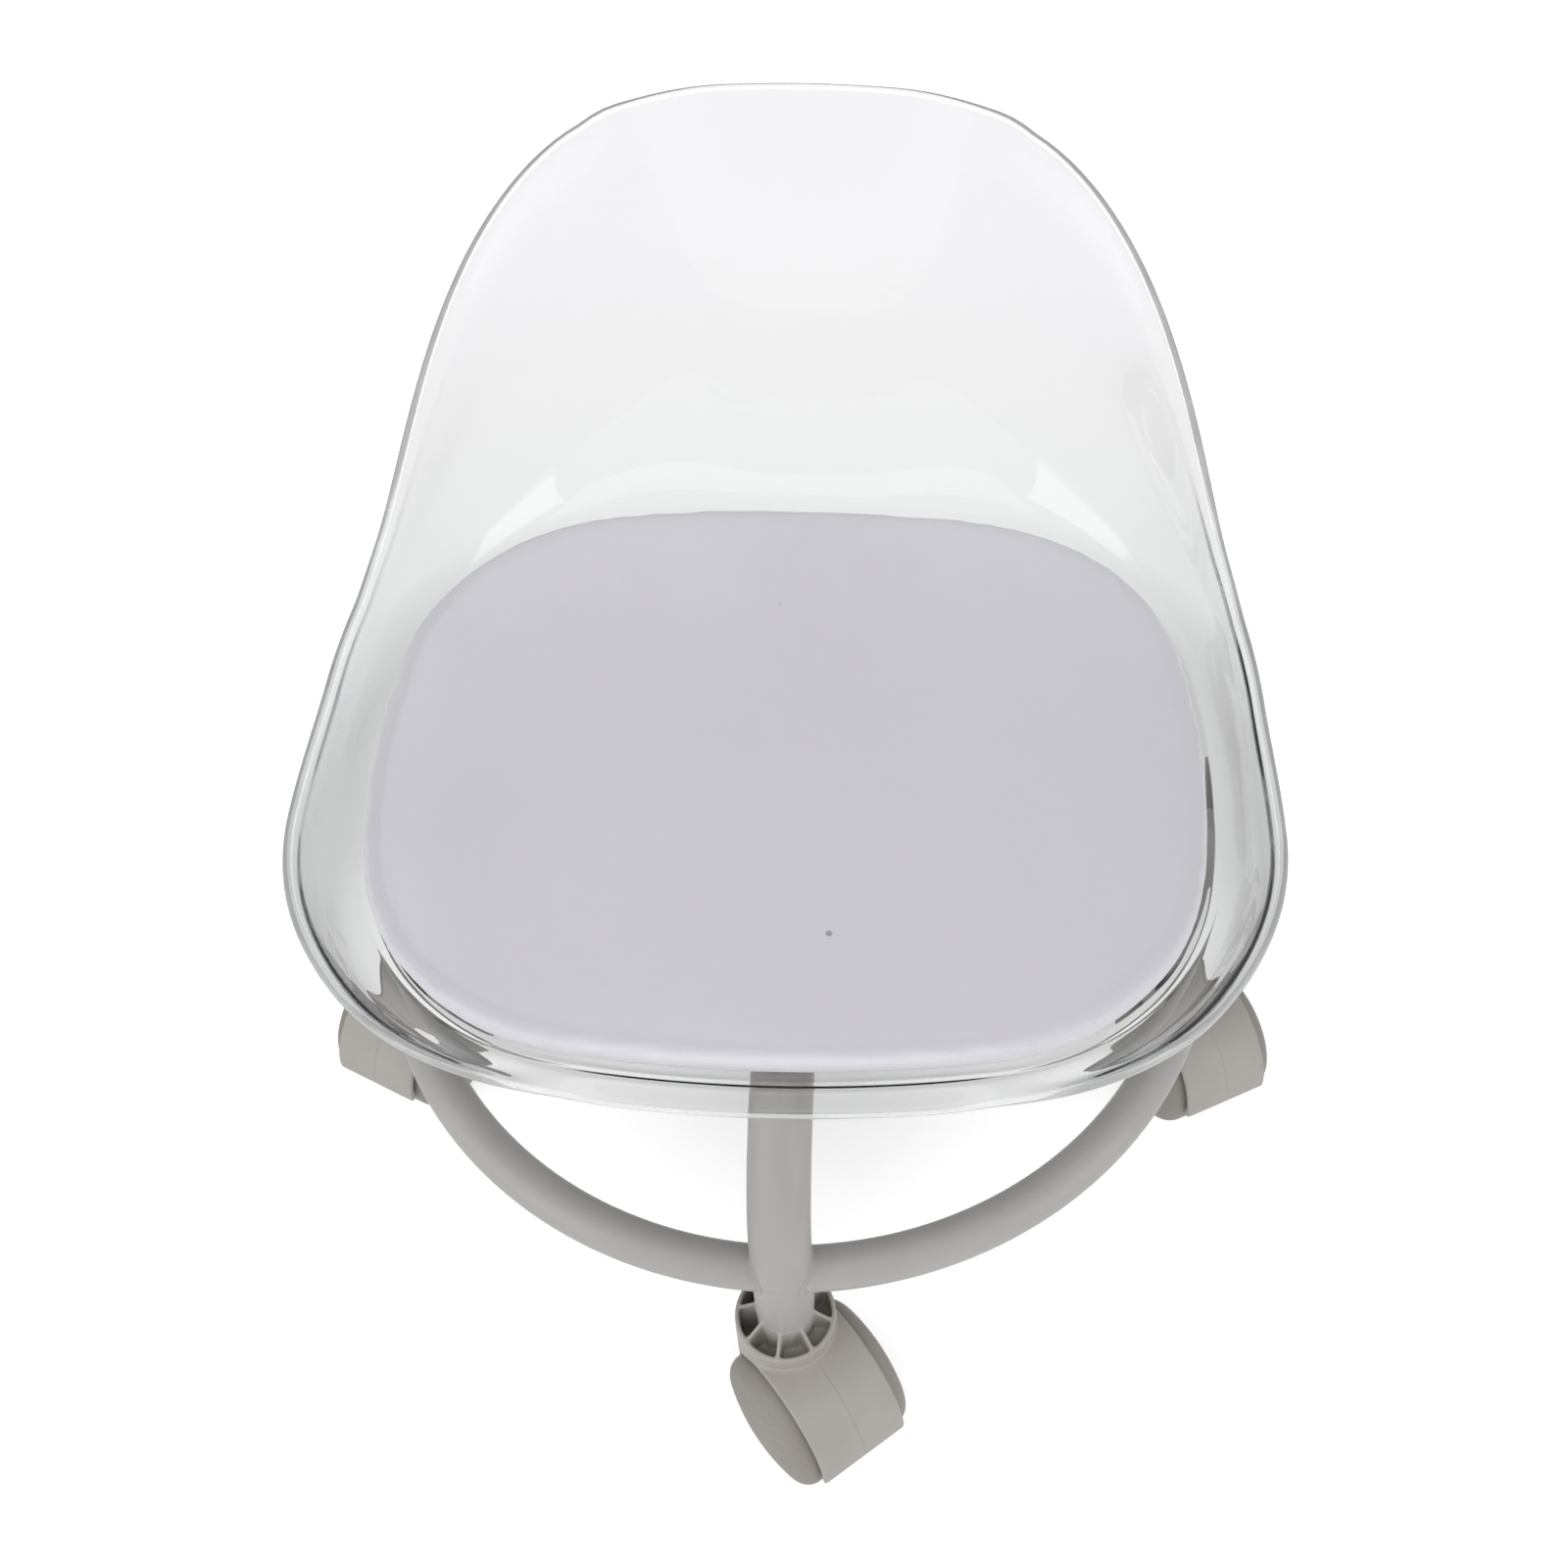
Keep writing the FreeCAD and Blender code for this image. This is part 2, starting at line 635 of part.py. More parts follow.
pad = doc.addObject("Part::Feature", "pad_cushion")
pad.Shape = make_pad()
keep(pad, "seat_pad")


# Casters: each is built about its own swivel axis with its nose towards -Y, then set under its leg

def set_under_leg(piece, dx, dy, turn):
    piece.Placement = Placement(Vector(), Rotation(Vector(0, 0, 1), 1))
    bind(piece, Placement__Rotation__Angle=turn)
    return place(piece, f"{dx} * sizes.ring_radius", f"{dy} * sizes.ring_radius")


def make_socket(corner):
    return tube(corner + "_socket", "levels.leg_bore", "levels.socket_bore", "sizes.socket_length",
                z="levels.leg_end")


def grip_ring_low():
    return "levels.leg_end + sizes.stem_in_leg / 2 - sizes.grip_ring_width / 2"


def make_stem(corner):
    height = "levels.leg_end + sizes.stem_in_leg - levels.stem_bottom"
    pin = cylinder(corner + "_stem_pin", "sizes.stem_dia / 2", height, z="levels.stem_bottom")
    groove = tube(corner + "_stem_groove", "sizes.stem_dia / 2", "levels.groove_radius",
                  "sizes.grip_ring_width", z=grip_ring_low())
    return cut(corner + "_stem", pin, groove)


def make_grip_ring(corner):
    ring = tube(corner + "_grip_ring_whole", "levels.socket_bore", "levels.groove_radius",
                "sizes.grip_ring_width", z=grip_ring_low())
    slot = block(corner + "_grip_ring_slot", "sizes.grip_ring_slot", "sizes.stem_dia",
                 "sizes.grip_ring_width", "-sizes.grip_ring_slot / 2", "0", grip_ring_low())
    return cut(corner + "_grip_ring", ring, slot)


def make_swivel_washer(corner):
    return tube(corner + "_swivel_washer", "sizes.swivel_washer_dia / 2", "sizes.stem_dia / 2",
                "sizes.swivel_washer_thickness", z="levels.leg_end - sizes.swivel_washer_thickness")


def across_axle(name, radius, start, length):
    """A cylinder about the axle, from a distance off the caster's middle."""
    return cylinder(name, radius, length, start, "-sizes.caster_trail", "levels.axle_height", "X")


def make_ribs(corner):
    """Eight thin ribs from the boss to the collar, sloping down to the collar's rim."""
    rim = "sizes.collar_dia / 2 - sizes.collar_wall / 2"
    foot = cylinder(corner + "_rib_foot", rim, "levels.collar_top - levels.axle_height",
                    z="levels.axle_height")
    slope = cone(corner + "_rib_slope", rim, "sizes.boss_dia / 2 - sizes.collar_wall / 2",
                 "sizes.boss_above_collar", z="levels.collar_top")
    plates = []
    for index in range(RIB_PAIRS):
        plate = block(f"{corner}_rib_{index}", "sizes.collar_dia", "sizes.rib_thickness", "levels.boss_top",
                      "-sizes.collar_dia / 2", "-sizes.rib_thickness / 2")
        turned = group(f"{corner}_rib_turned_{index}", [plate])
        turned.Placement = Placement(Vector(), Rotation(Vector(0, 0, 1), 180 / RIB_PAIRS * index))
        plates.append(turned)
    limits = fuse(corner + "_rib_limits", [foot, slope])
    ribs = doc.addObject("Part::Common", corner + "_ribs")
    ribs.Base = limits
    ribs.Tool = fuse(corner + "_rib_star", plates)
    return ribs


def make_hood(corner):
    half_hood, half_web = "sizes.hood_width / 2", "sizes.web_thickness / 2"
    span = "levels.hood_outer * 2"
    cowl = across_axle(corner + "_cowl", "levels.hood_outer", "-" + half_hood, "sizes.hood_width")
    behind = "-sizes.caster_trail - levels.hood_outer"
    below = "-levels.hood_outer"
    under_cowl = block(corner + "_under_cowl", "sizes.hood_width", span,
                       "levels.axle_height + levels.hood_outer", "-" + half_hood, behind, below)
    past_barrel = block(corner + "_past_barrel", "sizes.hood_width", "levels.hood_outer",
                        "levels.axle_height + levels.hood_outer * 2", "-" + half_hood, "0", below)
    web = across_axle(corner + "_web", "levels.hood_inner", "-" + half_web, "sizes.web_thickness")
    under_web = block(corner + "_under_web", "sizes.web_thickness", span,
                      "levels.axle_height + levels.hood_outer - sizes.web_boss_dia / 2",
                      "-" + half_web, behind, below)
    barrel_low = "levels.axle_height - sizes.barrel_below_axle"
    barrel = tube(corner + "_barrel", "sizes.collar_dia / 2", "sizes.collar_dia / 2 - sizes.collar_wall",
                  f"levels.collar_top - ({barrel_low})", z=barrel_low)
    rim = torus(corner + "_collar_rim", "sizes.collar_dia / 2 - sizes.collar_wall / 2",
                "sizes.collar_wall / 2", "levels.collar_top")
    boss = cylinder(corner + "_boss", "sizes.boss_dia / 2", "levels.boss_top - levels.axle_height",
                    z="levels.axle_height")
    whole = fuse(corner + "_hood_whole", [
        cut(corner + "_cowl_half", cowl, group(corner + "_cowl_trim", [under_cowl, past_barrel])),
        cut(corner + "_web_half", web, under_web),
        barrel, rim, boss, make_ribs(corner)])
    pocket = "sizes.collar_dia"
    seam_bed = across_axle(corner + "_seam_bed", "levels.hood_outer - sizes.seam_depth",
                           "-sizes.seam_width / 2", "sizes.seam_width")
    seam_ring = across_axle(corner + "_seam_ring", "levels.hood_outer + sizes.seam_depth",
                            "-sizes.seam_width / 2", "sizes.seam_width")
    seam_front = block(corner + "_seam_front", "sizes.seam_width", span, "levels.hood_outer * 3",
                       "-sizes.seam_width / 2", "-sizes.caster_trail - levels.hood_outer * 2")
    seam = doc.addObject("Part::Common", corner + "_seam")
    seam.Base = cut(corner + "_seam_groove", seam_ring, seam_bed)
    seam.Tool = seam_front
    openings = group(corner + "_hood_openings", [
        across_axle(corner + "_left_pocket", "levels.hood_inner", f"-{half_web} - {pocket}", pocket),
        across_axle(corner + "_right_pocket", "levels.hood_inner", half_web, pocket),
        cylinder(corner + "_stem_bore", "sizes.stem_dia / 2 + sizes.running_clearance",
                 "sizes.stem_in_hood + sizes.swivel_gap", z="levels.stem_bottom - sizes.swivel_gap"),
        across_axle(corner + "_axle_bore", "sizes.axle_dia / 2", "-" + half_web, "sizes.web_thickness")])
    return cut(corner + "_hood", cut(corner + "_hood_opened", whole, openings), seam)


def make_axle(corner):
    return across_axle(corner + "_axle", "sizes.axle_dia / 2", "-levels.axle_reach", "2 * levels.axle_reach")


def make_wheel(corner, side):
    """A cup-shaped wheel, turned about the axle: hub, end wall, rim and a domed outer face."""
    body = doc.addObject("PartDesign::Body", f"{corner}_{side}_wheel")
    profile = add_sketch(body, f"{corner}_{side}_wheel_profile", "XZ_Plane")
    face, dome = number("sizes.wheel_face"), number("sizes.wheel_dome")
    shoulder, shoulder_z = number("sizes.wheel_shoulder"), number("levels.shoulder_height")
    shoulder_x, dome_x = number("levels.shoulder_start"), number("levels.dome_centre")
    meet = math.atan2(shoulder_z, shoulder_x - dome_x)
    corners_of_profile = [
        ("levels.shoulder_start", "sizes.wheel_dia / 2"),
        ("levels.wheel_inner_face", "sizes.wheel_dia / 2"),
        ("levels.wheel_inner_face", "sizes.wheel_dia / 2 - sizes.wheel_rim"),
        ("levels.shoulder_start", "sizes.wheel_dia / 2 - sizes.wheel_rim"),
        ("sizes.wheel_face - sizes.wheel_end_wall", "sizes.wheel_hub_dia / 2"),
        ("levels.wheel_inner_face", "sizes.wheel_hub_dia / 2"),
        ("levels.wheel_inner_face", "sizes.axle_dia / 2 + sizes.running_clearance"),
        ("sizes.wheel_face - sizes.wheel_end_wall", "sizes.axle_dia / 2 + sizes.running_clearance"),
    ]
    points = [Vector(number(x), number(z), 0) for x, z in corners_of_profile]
    points.append(Vector(points[-1].x, 0, 0))
    points.append(Vector(face, 0, 0))
    for first, second in zip(points, points[1:]):
        profile.addGeometry(Part.LineSegment(first, second))
    lines = len(points) - 1
    for index in range(lines - 1):
        profile.addConstraint(Sketcher.Constraint("Coincident", index, END, index + 1, START))
    dome_circle = Part.Circle(Vector(dome_x, 0, 0), Vector(0, 0, 1), dome)
    crown = profile.addGeometry(Part.ArcOfCircle(dome_circle, 0, meet))
    shoulder_circle = Part.Circle(Vector(shoulder_x, shoulder_z, 0), Vector(0, 0, 1), shoulder)
    curl = profile.addGeometry(Part.ArcOfCircle(shoulder_circle, meet, math.pi / 2))
    profile.addConstraint(Sketcher.Constraint("Coincident", lines - 1, END, crown, START))
    profile.addConstraint(Sketcher.Constraint("Tangent", crown, END, curl, START))
    profile.addConstraint(Sketcher.Constraint("Coincident", curl, END, 0, START))
    profile.addConstraint(Sketcher.Constraint("PointOnObject", crown, CENTRE, X_AXIS))
    profile.addConstraint(Sketcher.Constraint("Horizontal", lines - 1))
    profile.addConstraint(Sketcher.Constraint("Vertical", lines - 2))
    profile.addConstraint(Sketcher.Constraint("PointOnObject", lines - 1, END, X_AXIS))
    for index, (x, z) in enumerate(corners_of_profile):
        dimension(profile, f"corner_{index}_x", x, "DistanceX", *ORIGIN, index, START)
        dimension(profile, f"corner_{index}_z", z, "DistanceY", *ORIGIN, index, START)
    dimension(profile, "face", "sizes.wheel_face", "DistanceX", *ORIGIN, lines - 1, END)
    dimension(profile, "dome", "sizes.wheel_dome", "Radius", crown)
    turned = body.newObject("PartDesign::Revolution", f"{corner}_{side}_wheel_turned")
    turned.Profile = profile
    turned.ReferenceAxis = (profile, ["H_Axis"])
    turned.Angle = 360
    if side == "left":
        body.Placement = Placement(Vector(), Rotation(Vector(0, 0, 1), 180))
    place(body, "0", "-sizes.caster_trail", "levels.axle_height")
    return group(f"{corner}_{side}_wheel_set", [body])


for corner, (dx, dy, turn) in CORNERS.items():
    caster = {
        "leg_socket": make_socket(corner),
        "caster_stem": make_stem(corner),
        "grip_ring": make_grip_ring(corner),
        "swivel_washer": make_swivel_washer(corner),
        "caster_hood": make_hood(corner),
        "caster_axle": group(corner + "_axle_set", [make_axle(corner)]),
        "caster_left_wheel": make_wheel(corner, "left"),
        "caster_right_wheel": make_wheel(corner, "right"),
    }
    for name, piece in caster.items():
        keep(set_under_leg(piece, dx, dy, turn), f"{corner}_{name}")

# Check every object, then write one file for each piece

doc.recompute()
for piece in doc.Objects:
    if "Invalid" in piece.State or "Error" in piece.State:
        raise RuntimeError(f"{piece.Name} failed: {piece.State}")
for piece in nodes:
    if piece.Shape.isNull() or not piece.Shape.isValid():
        raise RuntimeError(f"{piece.Label} has no valid shape")

os.makedirs("parts", exist_ok=True)
for piece in nodes:
    piece.Shape.exportStep(f"parts/{piece.Label}.step")
    box = piece.Shape.BoundBox
    print(f"{piece.Label}: {len(piece.Shape.Solids)} solids, {piece.Shape.Volume / 1000:.2f} cm3, "
          f"{box.XLength:.1f} x {box.YLength:.1f} x {box.ZLength:.1f} mm")
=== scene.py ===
# %% [markdown]
# # A low rolling stool, dressed for its portrait
# The stool has a clear moulded bucket seat, a thin cloth pad, a painted tube base and twin-wheel
# casters.
# Its measured solids arrive as a fixed frame, so nothing here has to be placed by eye.
# Each cell takes one piece or one finish, says what the real one is like, and then makes it.

# %% Load the measured frame
import json
import math
import bmesh
import bpy
import numpy as np
from mathutils import Matrix, Vector, noise


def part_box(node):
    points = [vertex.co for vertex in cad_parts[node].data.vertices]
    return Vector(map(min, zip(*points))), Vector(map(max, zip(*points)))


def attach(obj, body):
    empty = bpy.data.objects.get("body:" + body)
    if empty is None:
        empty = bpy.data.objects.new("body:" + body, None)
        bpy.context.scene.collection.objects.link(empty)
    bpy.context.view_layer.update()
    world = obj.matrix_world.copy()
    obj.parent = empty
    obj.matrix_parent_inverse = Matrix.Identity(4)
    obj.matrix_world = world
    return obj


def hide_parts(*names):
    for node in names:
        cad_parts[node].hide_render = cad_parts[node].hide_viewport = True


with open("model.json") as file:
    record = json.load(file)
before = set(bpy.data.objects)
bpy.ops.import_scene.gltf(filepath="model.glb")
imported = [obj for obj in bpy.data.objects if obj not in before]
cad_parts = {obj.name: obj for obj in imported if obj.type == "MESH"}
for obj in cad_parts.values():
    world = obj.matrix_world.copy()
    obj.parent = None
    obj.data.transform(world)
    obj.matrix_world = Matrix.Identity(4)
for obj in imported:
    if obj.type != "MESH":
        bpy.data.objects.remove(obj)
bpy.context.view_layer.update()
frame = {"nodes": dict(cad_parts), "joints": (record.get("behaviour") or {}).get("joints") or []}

scene = bpy.context.scene

# %% [markdown]
# ## The camera
# The picture looks down on the seat from in front, at a bit more than half way to straight
# overhead.
# A lens of 45 mm on the usual 36 mm sensor gives the same narrowing towards the floor as in the
# picture.
# The stool stands left of the lens axis there, so the sensor is shifted sideways; the camera also
# leans by a degree.
# The Standard view keeps colours as they are written, which suits a plain product picture.

# %% Set the camera
camera_data = bpy.data.cameras.new("portrait_camera")
camera = bpy.data.objects.new("portrait_camera", camera_data)
scene.collection.objects.link(camera)
camera_data.lens = 45
camera_data.sensor_width = 36
camera_data.shift_x = -0.0675
camera_data.shift_y = 0.0019
camera.location = (0.0396, -0.4969, 0.876)
TILT, ROLL = 36.73, 1.2
look = Matrix.Rotation(math.radians(TILT), 3, "X") @ Matrix.Rotation(math.radians(ROLL), 3, "Z")
camera.rotation_euler = look.to_euler()
scene.camera = camera
scene.view_settings.view_transform = "Standard"
print("camera at", tuple(round(value, 3) for value in camera.location))

# %% [markdown]
# ## Floor, sky and lamps
# A studio shot on white needs a floor that reads as white but still takes a soft shadow.
# The floor is a plain diffuse sheet with a little light of its own, seen mainly by the camera and
# through the seat.
# That light is made weak near the middle, which paints a darker shade on the floor under the seat,
# and grows again where the lamps no longer reach, so that the floor has no visible end.
# An even pale sky fills in from all round, and a softbox above in front lights the base under the
# seat.
# Two large softboxes at the sides give the bright spots in the rear corners of the seat and the
# streaks along its rim.
# The glossy back of the seat would mirror the floor and the upper softbox as patches with hard
# edges.
# So mirrored rays miss those two, and meet a sky that is a little dimmer than the one the camera
# sees.

# %% Make the floor
FLOOR_REACH = 8
PAPER_WHITE = 0.86
BOUNCED_GLOW = 0.55
# The floor's glow rises twice, each time from a near to a far distance, by a low and a high value;
# the first, dim near the middle, is a painted shade under the seat.
GLOW_FADES_WITH_PAINTED_SHADE = [(0.02, 0.15, 0.25, 0.5), (0.45, 1.5, 0, 0.27)]


def join(tree, from_node, from_name, to_node, to_name):
    tree.links.new(from_node.outputs[from_name], to_node.inputs[to_name])


def calculate(tree, operation):
    node = tree.nodes.new("ShaderNodeMath")
    node.operation = operation
    return node


def seen_directly(tree, mirrored=1):
    """1 for a ray from the camera or through the seat, a set share for a mirrored one, else 0."""
    path = tree.nodes.new("ShaderNodeLightPath")
    glossy = calculate(tree, "MULTIPLY")
    glossy.inputs[1].default_value = mirrored
    first = calculate(tree, "MAXIMUM")
    second = calculate(tree, "MAXIMUM")
    join(tree, path, "Is Glossy Ray", glossy, 0)
    join(tree, path, "Is Camera Ray", first, 0)
    join(tree, glossy, "Value", first, 1)
    tree.links.new(first.outputs[0], second.inputs[0])
    join(tree, path, "Is Transmission Ray", second, 1)
    return second


def between(tree, value, low, high, start=0.3, end=0.7):
    """Spreads a value between start and end over the range from low to high."""
    spread = tree.nodes.new("ShaderNodeMapRange")
    for name, number in (("From Min", start), ("From Max", end), ("To Min", low), ("To Max", high)):
        spread.inputs[name].default_value = number
    tree.links.new(value, spread.inputs["Value"])
    return spread.outputs["Result"]


def make_floor():
    mesh = bpy.data.meshes.new("studio_floor")
    reach = FLOOR_REACH
    corners = [(-reach, -reach, 0), (reach, -reach, 0), (reach, reach, 0), (-reach, reach, 0)]
    mesh.from_pydata(corners, [], [(0, 1, 2, 3)])
    floor = bpy.data.objects.new("studio_floor", mesh)
    scene.collection.objects.link(floor)
    paper = bpy.data.materials.new("white_paper")
    paper.use_nodes = True
    tree = paper.node_tree
    tree.nodes.clear()
    diffuse = tree.nodes.new("ShaderNodeBsdfDiffuse")
    diffuse.inputs["Color"].default_value = (PAPER_WHITE, PAPER_WHITE, PAPER_WHITE, 1)
    glow = tree.nodes.new("ShaderNodeEmission")
    glow.inputs["Color"].default_value = (1, 1, 1, 1)
    position = tree.nodes.new("ShaderNodeTexCoord")
    distance = tree.nodes.new("ShaderNodeVectorMath")
    distance.operation = "LENGTH"
    join(tree, position, "Object", distance, "Vector")
    # Painted shade: the glow is dimmer near the middle, under the seat.
    glow_with_painted_shade = calculate(tree, "ADD")
    for socket, (near, far, low, high) in enumerate(GLOW_FADES_WITH_PAINTED_SHADE):
        fade = between(tree, distance.outputs["Value"], low, high, near, far)
        tree.links.new(fade, glow_with_painted_shade.inputs[socket])
    share = between(tree, seen_directly(tree).outputs[0], BOUNCED_GLOW, 1, 0, 1)
    strength = calculate(tree, "MULTIPLY")
    join(tree, glow_with_painted_shade, "Value", strength, 0)
    tree.links.new(share, strength.inputs[1])
    tree.links.new(strength.outputs[0], glow.inputs["Strength"])
    both = tree.nodes.new("ShaderNodeAddShader")
    tree.links.new(diffuse.outputs[0], both.inputs[0])
    tree.links.new(glow.outputs[0], both.inputs[1])
    output = tree.nodes.new("ShaderNodeOutputMaterial")
    join(tree, both, "Shader", output, "Surface")
    mesh.materials.append(paper)
    floor.visible_glossy = False
    return floor


floor = make_floor()
print("floor:", floor.name)

# %% Make the sky and the softboxes
SKY_FILL = 0.3
MIRRORED_SKY = 0.57
SOFTBOX_LAYERS = (1.2, 1.0, 0.8)
SEAT_BACK = (0, 0.05, 0.25)
world = bpy.data.worlds.new("studio_sky")
scene.world = world
world.use_nodes = True
sky = world.node_tree
sky.nodes.clear()
backdrop = sky.nodes.new("ShaderNodeBackground")
backdrop.inputs["Color"].default_value = (1, 1, 1, 1)
backdrop.inputs["Strength"].default_value = 1
fill = sky.nodes.new("ShaderNodeBackground")
fill.inputs["Color"].default_value = (0.97, 0.98, 1, 1)
fill.inputs["Strength"].default_value = SKY_FILL
choose = sky.nodes.new("ShaderNodeMixShader")
sky.links.new(seen_directly(sky, MIRRORED_SKY).outputs[0], choose.inputs[0])
sky.links.new(fill.outputs[0], choose.inputs[1])
sky.links.new(backdrop.outputs[0], choose.inputs[2])
sky_output = sky.nodes.new("ShaderNodeOutputWorld")
sky.links.new(choose.outputs[0], sky_output.inputs["Surface"])


def make_softbox(name, place, aim, width, height, watts, mirrored=True):
    """A softbox as lamps in one place, each smaller than the last, so that it fades to its edge."""
    whole = sum(size ** 2 for size in SOFTBOX_LAYERS)
    for layer, share in enumerate(SOFTBOX_LAYERS):
        lamp = bpy.data.lights.new(f"{name}_{layer}", "AREA")
        lamp.shape = "RECTANGLE"
        lamp.size = width * share
        lamp.size_y = height * share
        lamp.energy = watts * share ** 2 / whole
        piece = bpy.data.objects.new(f"{name}_{layer}", lamp)
        piece.location = place
        piece.visible_glossy = mirrored
        towards = Vector(aim) - Vector(place)
        piece.rotation_euler = towards.to_track_quat("-Z", "Y").to_euler()
        scene.collection.objects.link(piece)


make_softbox("left_softbox", (-1.35, -0.85, 0.8), SEAT_BACK, 0.9, 1.25, 13)
make_softbox("right_softbox", (1.45, -0.72, 0.8), SEAT_BACK, 0.9, 1.25, 14)
make_softbox("top_softbox", (0.1, -1.1, 1.8), (0, 0, 0.2), 1.5, 1.1, 22, mirrored=False)

# %% [markdown]
# ## Building blocks for finishes
# Every finish below is a Principled shader with textures worked out from the surface's own
# position.
# Positions are in metres, so a noise scale of 1000 gives grains of about a millimetre on every
# piece.
# Small helpers keep the node trees short: they add a grain, a tint, a stain or a fine relief.

# %% Helpers for finishes
FIRST_COLOUR, SECOND_COLOUR, MIXED_COLOUR = 6, 7, 2


def new_finish(name):
    material = bpy.data.materials.new(name)
    material.use_nodes = True
    tree = material.node_tree
    shader = tree.nodes["Principled BSDF"]
    position = tree.nodes.new("ShaderNodeTexCoord")
    return material, tree, shader, position.outputs["Object"]


def grain(tree, where, scale, detail=2, roughness=0.5, stretch=None):
    """A noise value; stretch pulls it out along an axis, as brush marks are."""
    if stretch:
        mapping = tree.nodes.new("ShaderNodeMapping")
        mapping.inputs["Scale"].default_value = stretch
        tree.links.new(where, mapping.inputs["Vector"])
        where = mapping.outputs["Vector"]
    texture = tree.nodes.new("ShaderNodeTexNoise")
    texture.inputs["Scale"].default_value = scale
    texture.inputs["Detail"].default_value = detail
    texture.inputs["Roughness"].default_value = roughness
    tree.links.new(where, texture.inputs["Vector"])
    return texture.outputs["Fac"]


def blend_tints(tree, value, first, second):
    mix = tree.nodes.new("ShaderNodeMix")
    mix.data_type = "RGBA"
    mix.inputs[FIRST_COLOUR].default_value = (*first, 1)
    mix.inputs[SECOND_COLOUR].default_value = (*second, 1)
    tree.links.new(value, mix.inputs[0])
    return mix.outputs[MIXED_COLOUR]


def stain(tree, colour, amount, spot):
    """Lays another tint over a colour, by the given amount at each place."""
    mix = tree.nodes.new("ShaderNodeMix")
    mix.data_type = "RGBA"
    mix.inputs[SECOND_COLOUR].default_value = (*spot, 1)
    tree.links.new(amount, mix.inputs[0])
    tree.links.new(colour, mix.inputs[FIRST_COLOUR])
    return mix.outputs[MIXED_COLOUR]


def relief(tree, value, strength, depth, before=None):
    bump = tree.nodes.new("ShaderNodeBump")
    bump.inputs["Strength"].default_value = strength
    bump.inputs["Distance"].default_value = depth
    tree.links.new(value, bump.inputs["Height"])
    if before:
        tree.links.new(before, bump.inputs["Normal"])
    return bump.outputs["Normal"]


def specks(tree, where, scale, size):
    """1 in a few small round spots and 0 elsewhere."""
    cells = tree.nodes.new("ShaderNodeTexVoronoi")
    cells.inputs["Scale"].default_value = scale
    tree.links.new(where, cells.inputs["Vector"])
    return between(tree, cells.outputs["Distance"], 1, 0, size * 0.5, size)


def shade(level):
    """The linear value of a grey level read in a picture, from 0 to 255."""
    share = level / 255
    return share / 12.92 if share <= 0.04045 else ((share + 0.055) / 1.055) ** 2.4


def tint(red, green, blue):
    return shade(red), shade(green), shade(blue)


def smooth(mesh):
    for face in mesh.polygons:
        face.use_smooth = True


def dress(node, material):
    """Gives a solid of the frame its finish."""
    slots = frame["nodes"][node].data.materials
    slots.clear()
    slots.append(material)


print("a mid grey of 128 is", round(shade(128), 3))

# %% [markdown]
# ## Painted tubes
# The legs and the ring are steel tube under a sprayed grey coat.
# Sprayed paint is never quite even: it has an orange-peel skin about a millimetre across and a slow
# drift in shade.
# A fine noise drives the relief and the gloss, and a broad one drifts the colour a little.

# %% Finish the tubes
CORNERS = ["front", "right", "back", "left"]
RING_ARCS = ["front_left", "front_right", "back_left", "back_right"]


def make_grey_paint():
    material, tree, shader, where = new_finish("grey_paint")
    broad = grain(tree, where, 14, 3)
    colour = blend_tints(tree, between(tree, broad, 0, 1), tint(157, 155, 153), tint(165, 163, 161))
    tree.links.new(colour, shader.inputs["Base Color"])
    tree.links.new(between(tree, grain(tree, where, 260), 0.36, 0.46), shader.inputs["Roughness"])
    peel = relief(tree, grain(tree, where, 900, 1), 0.12, 0.0004)
    tree.links.new(peel, shader.inputs["Normal"])
    shader.inputs["Coat Weight"].default_value = 0.12
    shader.inputs["Coat Roughness"].default_value = 0.25
    return material


grey_paint = make_grey_paint()
for corner in CORNERS:
    dress(corner + "_leg", grey_paint)
for arc in RING_ARCS:
    dress(arc + "_ring_arc", grey_paint)
dress("centre_hub", grey_paint)
print("painted:", len(CORNERS) + len(RING_ARCS) + 1, "pieces")

# %% [markdown]
# ## Small metal, rubber and dark plastic
# Plate, screws, nuts, stems and axles are zinc-plated steel, which shows fine rolled or turned
# lines.
# A noise stretched in one direction makes such lines without any picture.
# The washers are dull rubber with a dusty bloom, and the sockets are dark moulded plastic.

# %% Finish the small pieces
def make_plated_steel():
    material, tree, shader, where = new_finish("plated_steel")
    lines = grain(tree, where, 300, 3, stretch=(1, 12, 1))
    colour = blend_tints(tree, between(tree, lines, 0, 1), tint(176, 177, 178), tint(204, 204, 203))
    tree.links.new(colour, shader.inputs["Base Color"])
    shader.inputs["Metallic"].default_value = 1
    tree.links.new(between(tree, lines, 0.28, 0.42), shader.inputs["Roughness"])
    tree.links.new(relief(tree, lines, 0.06, 0.0002), shader.inputs["Normal"])
    return material


def make_dull(name, dark, pale, low_gloss, high_gloss):
    material, tree, shader, where = new_finish(name)
    bloom = grain(tree, where, 120, 4)
    colour = blend_tints(tree, between(tree, bloom, 0, 1), dark, pale)
    tree.links.new(colour, shader.inputs["Base Color"])
    tree.links.new(between(tree, bloom, low_gloss, high_gloss), shader.inputs["Roughness"])
    skin = relief(tree, grain(tree, where, 1800, 1), 0.15, 0.0002)
    tree.links.new(skin, shader.inputs["Normal"])
    return material


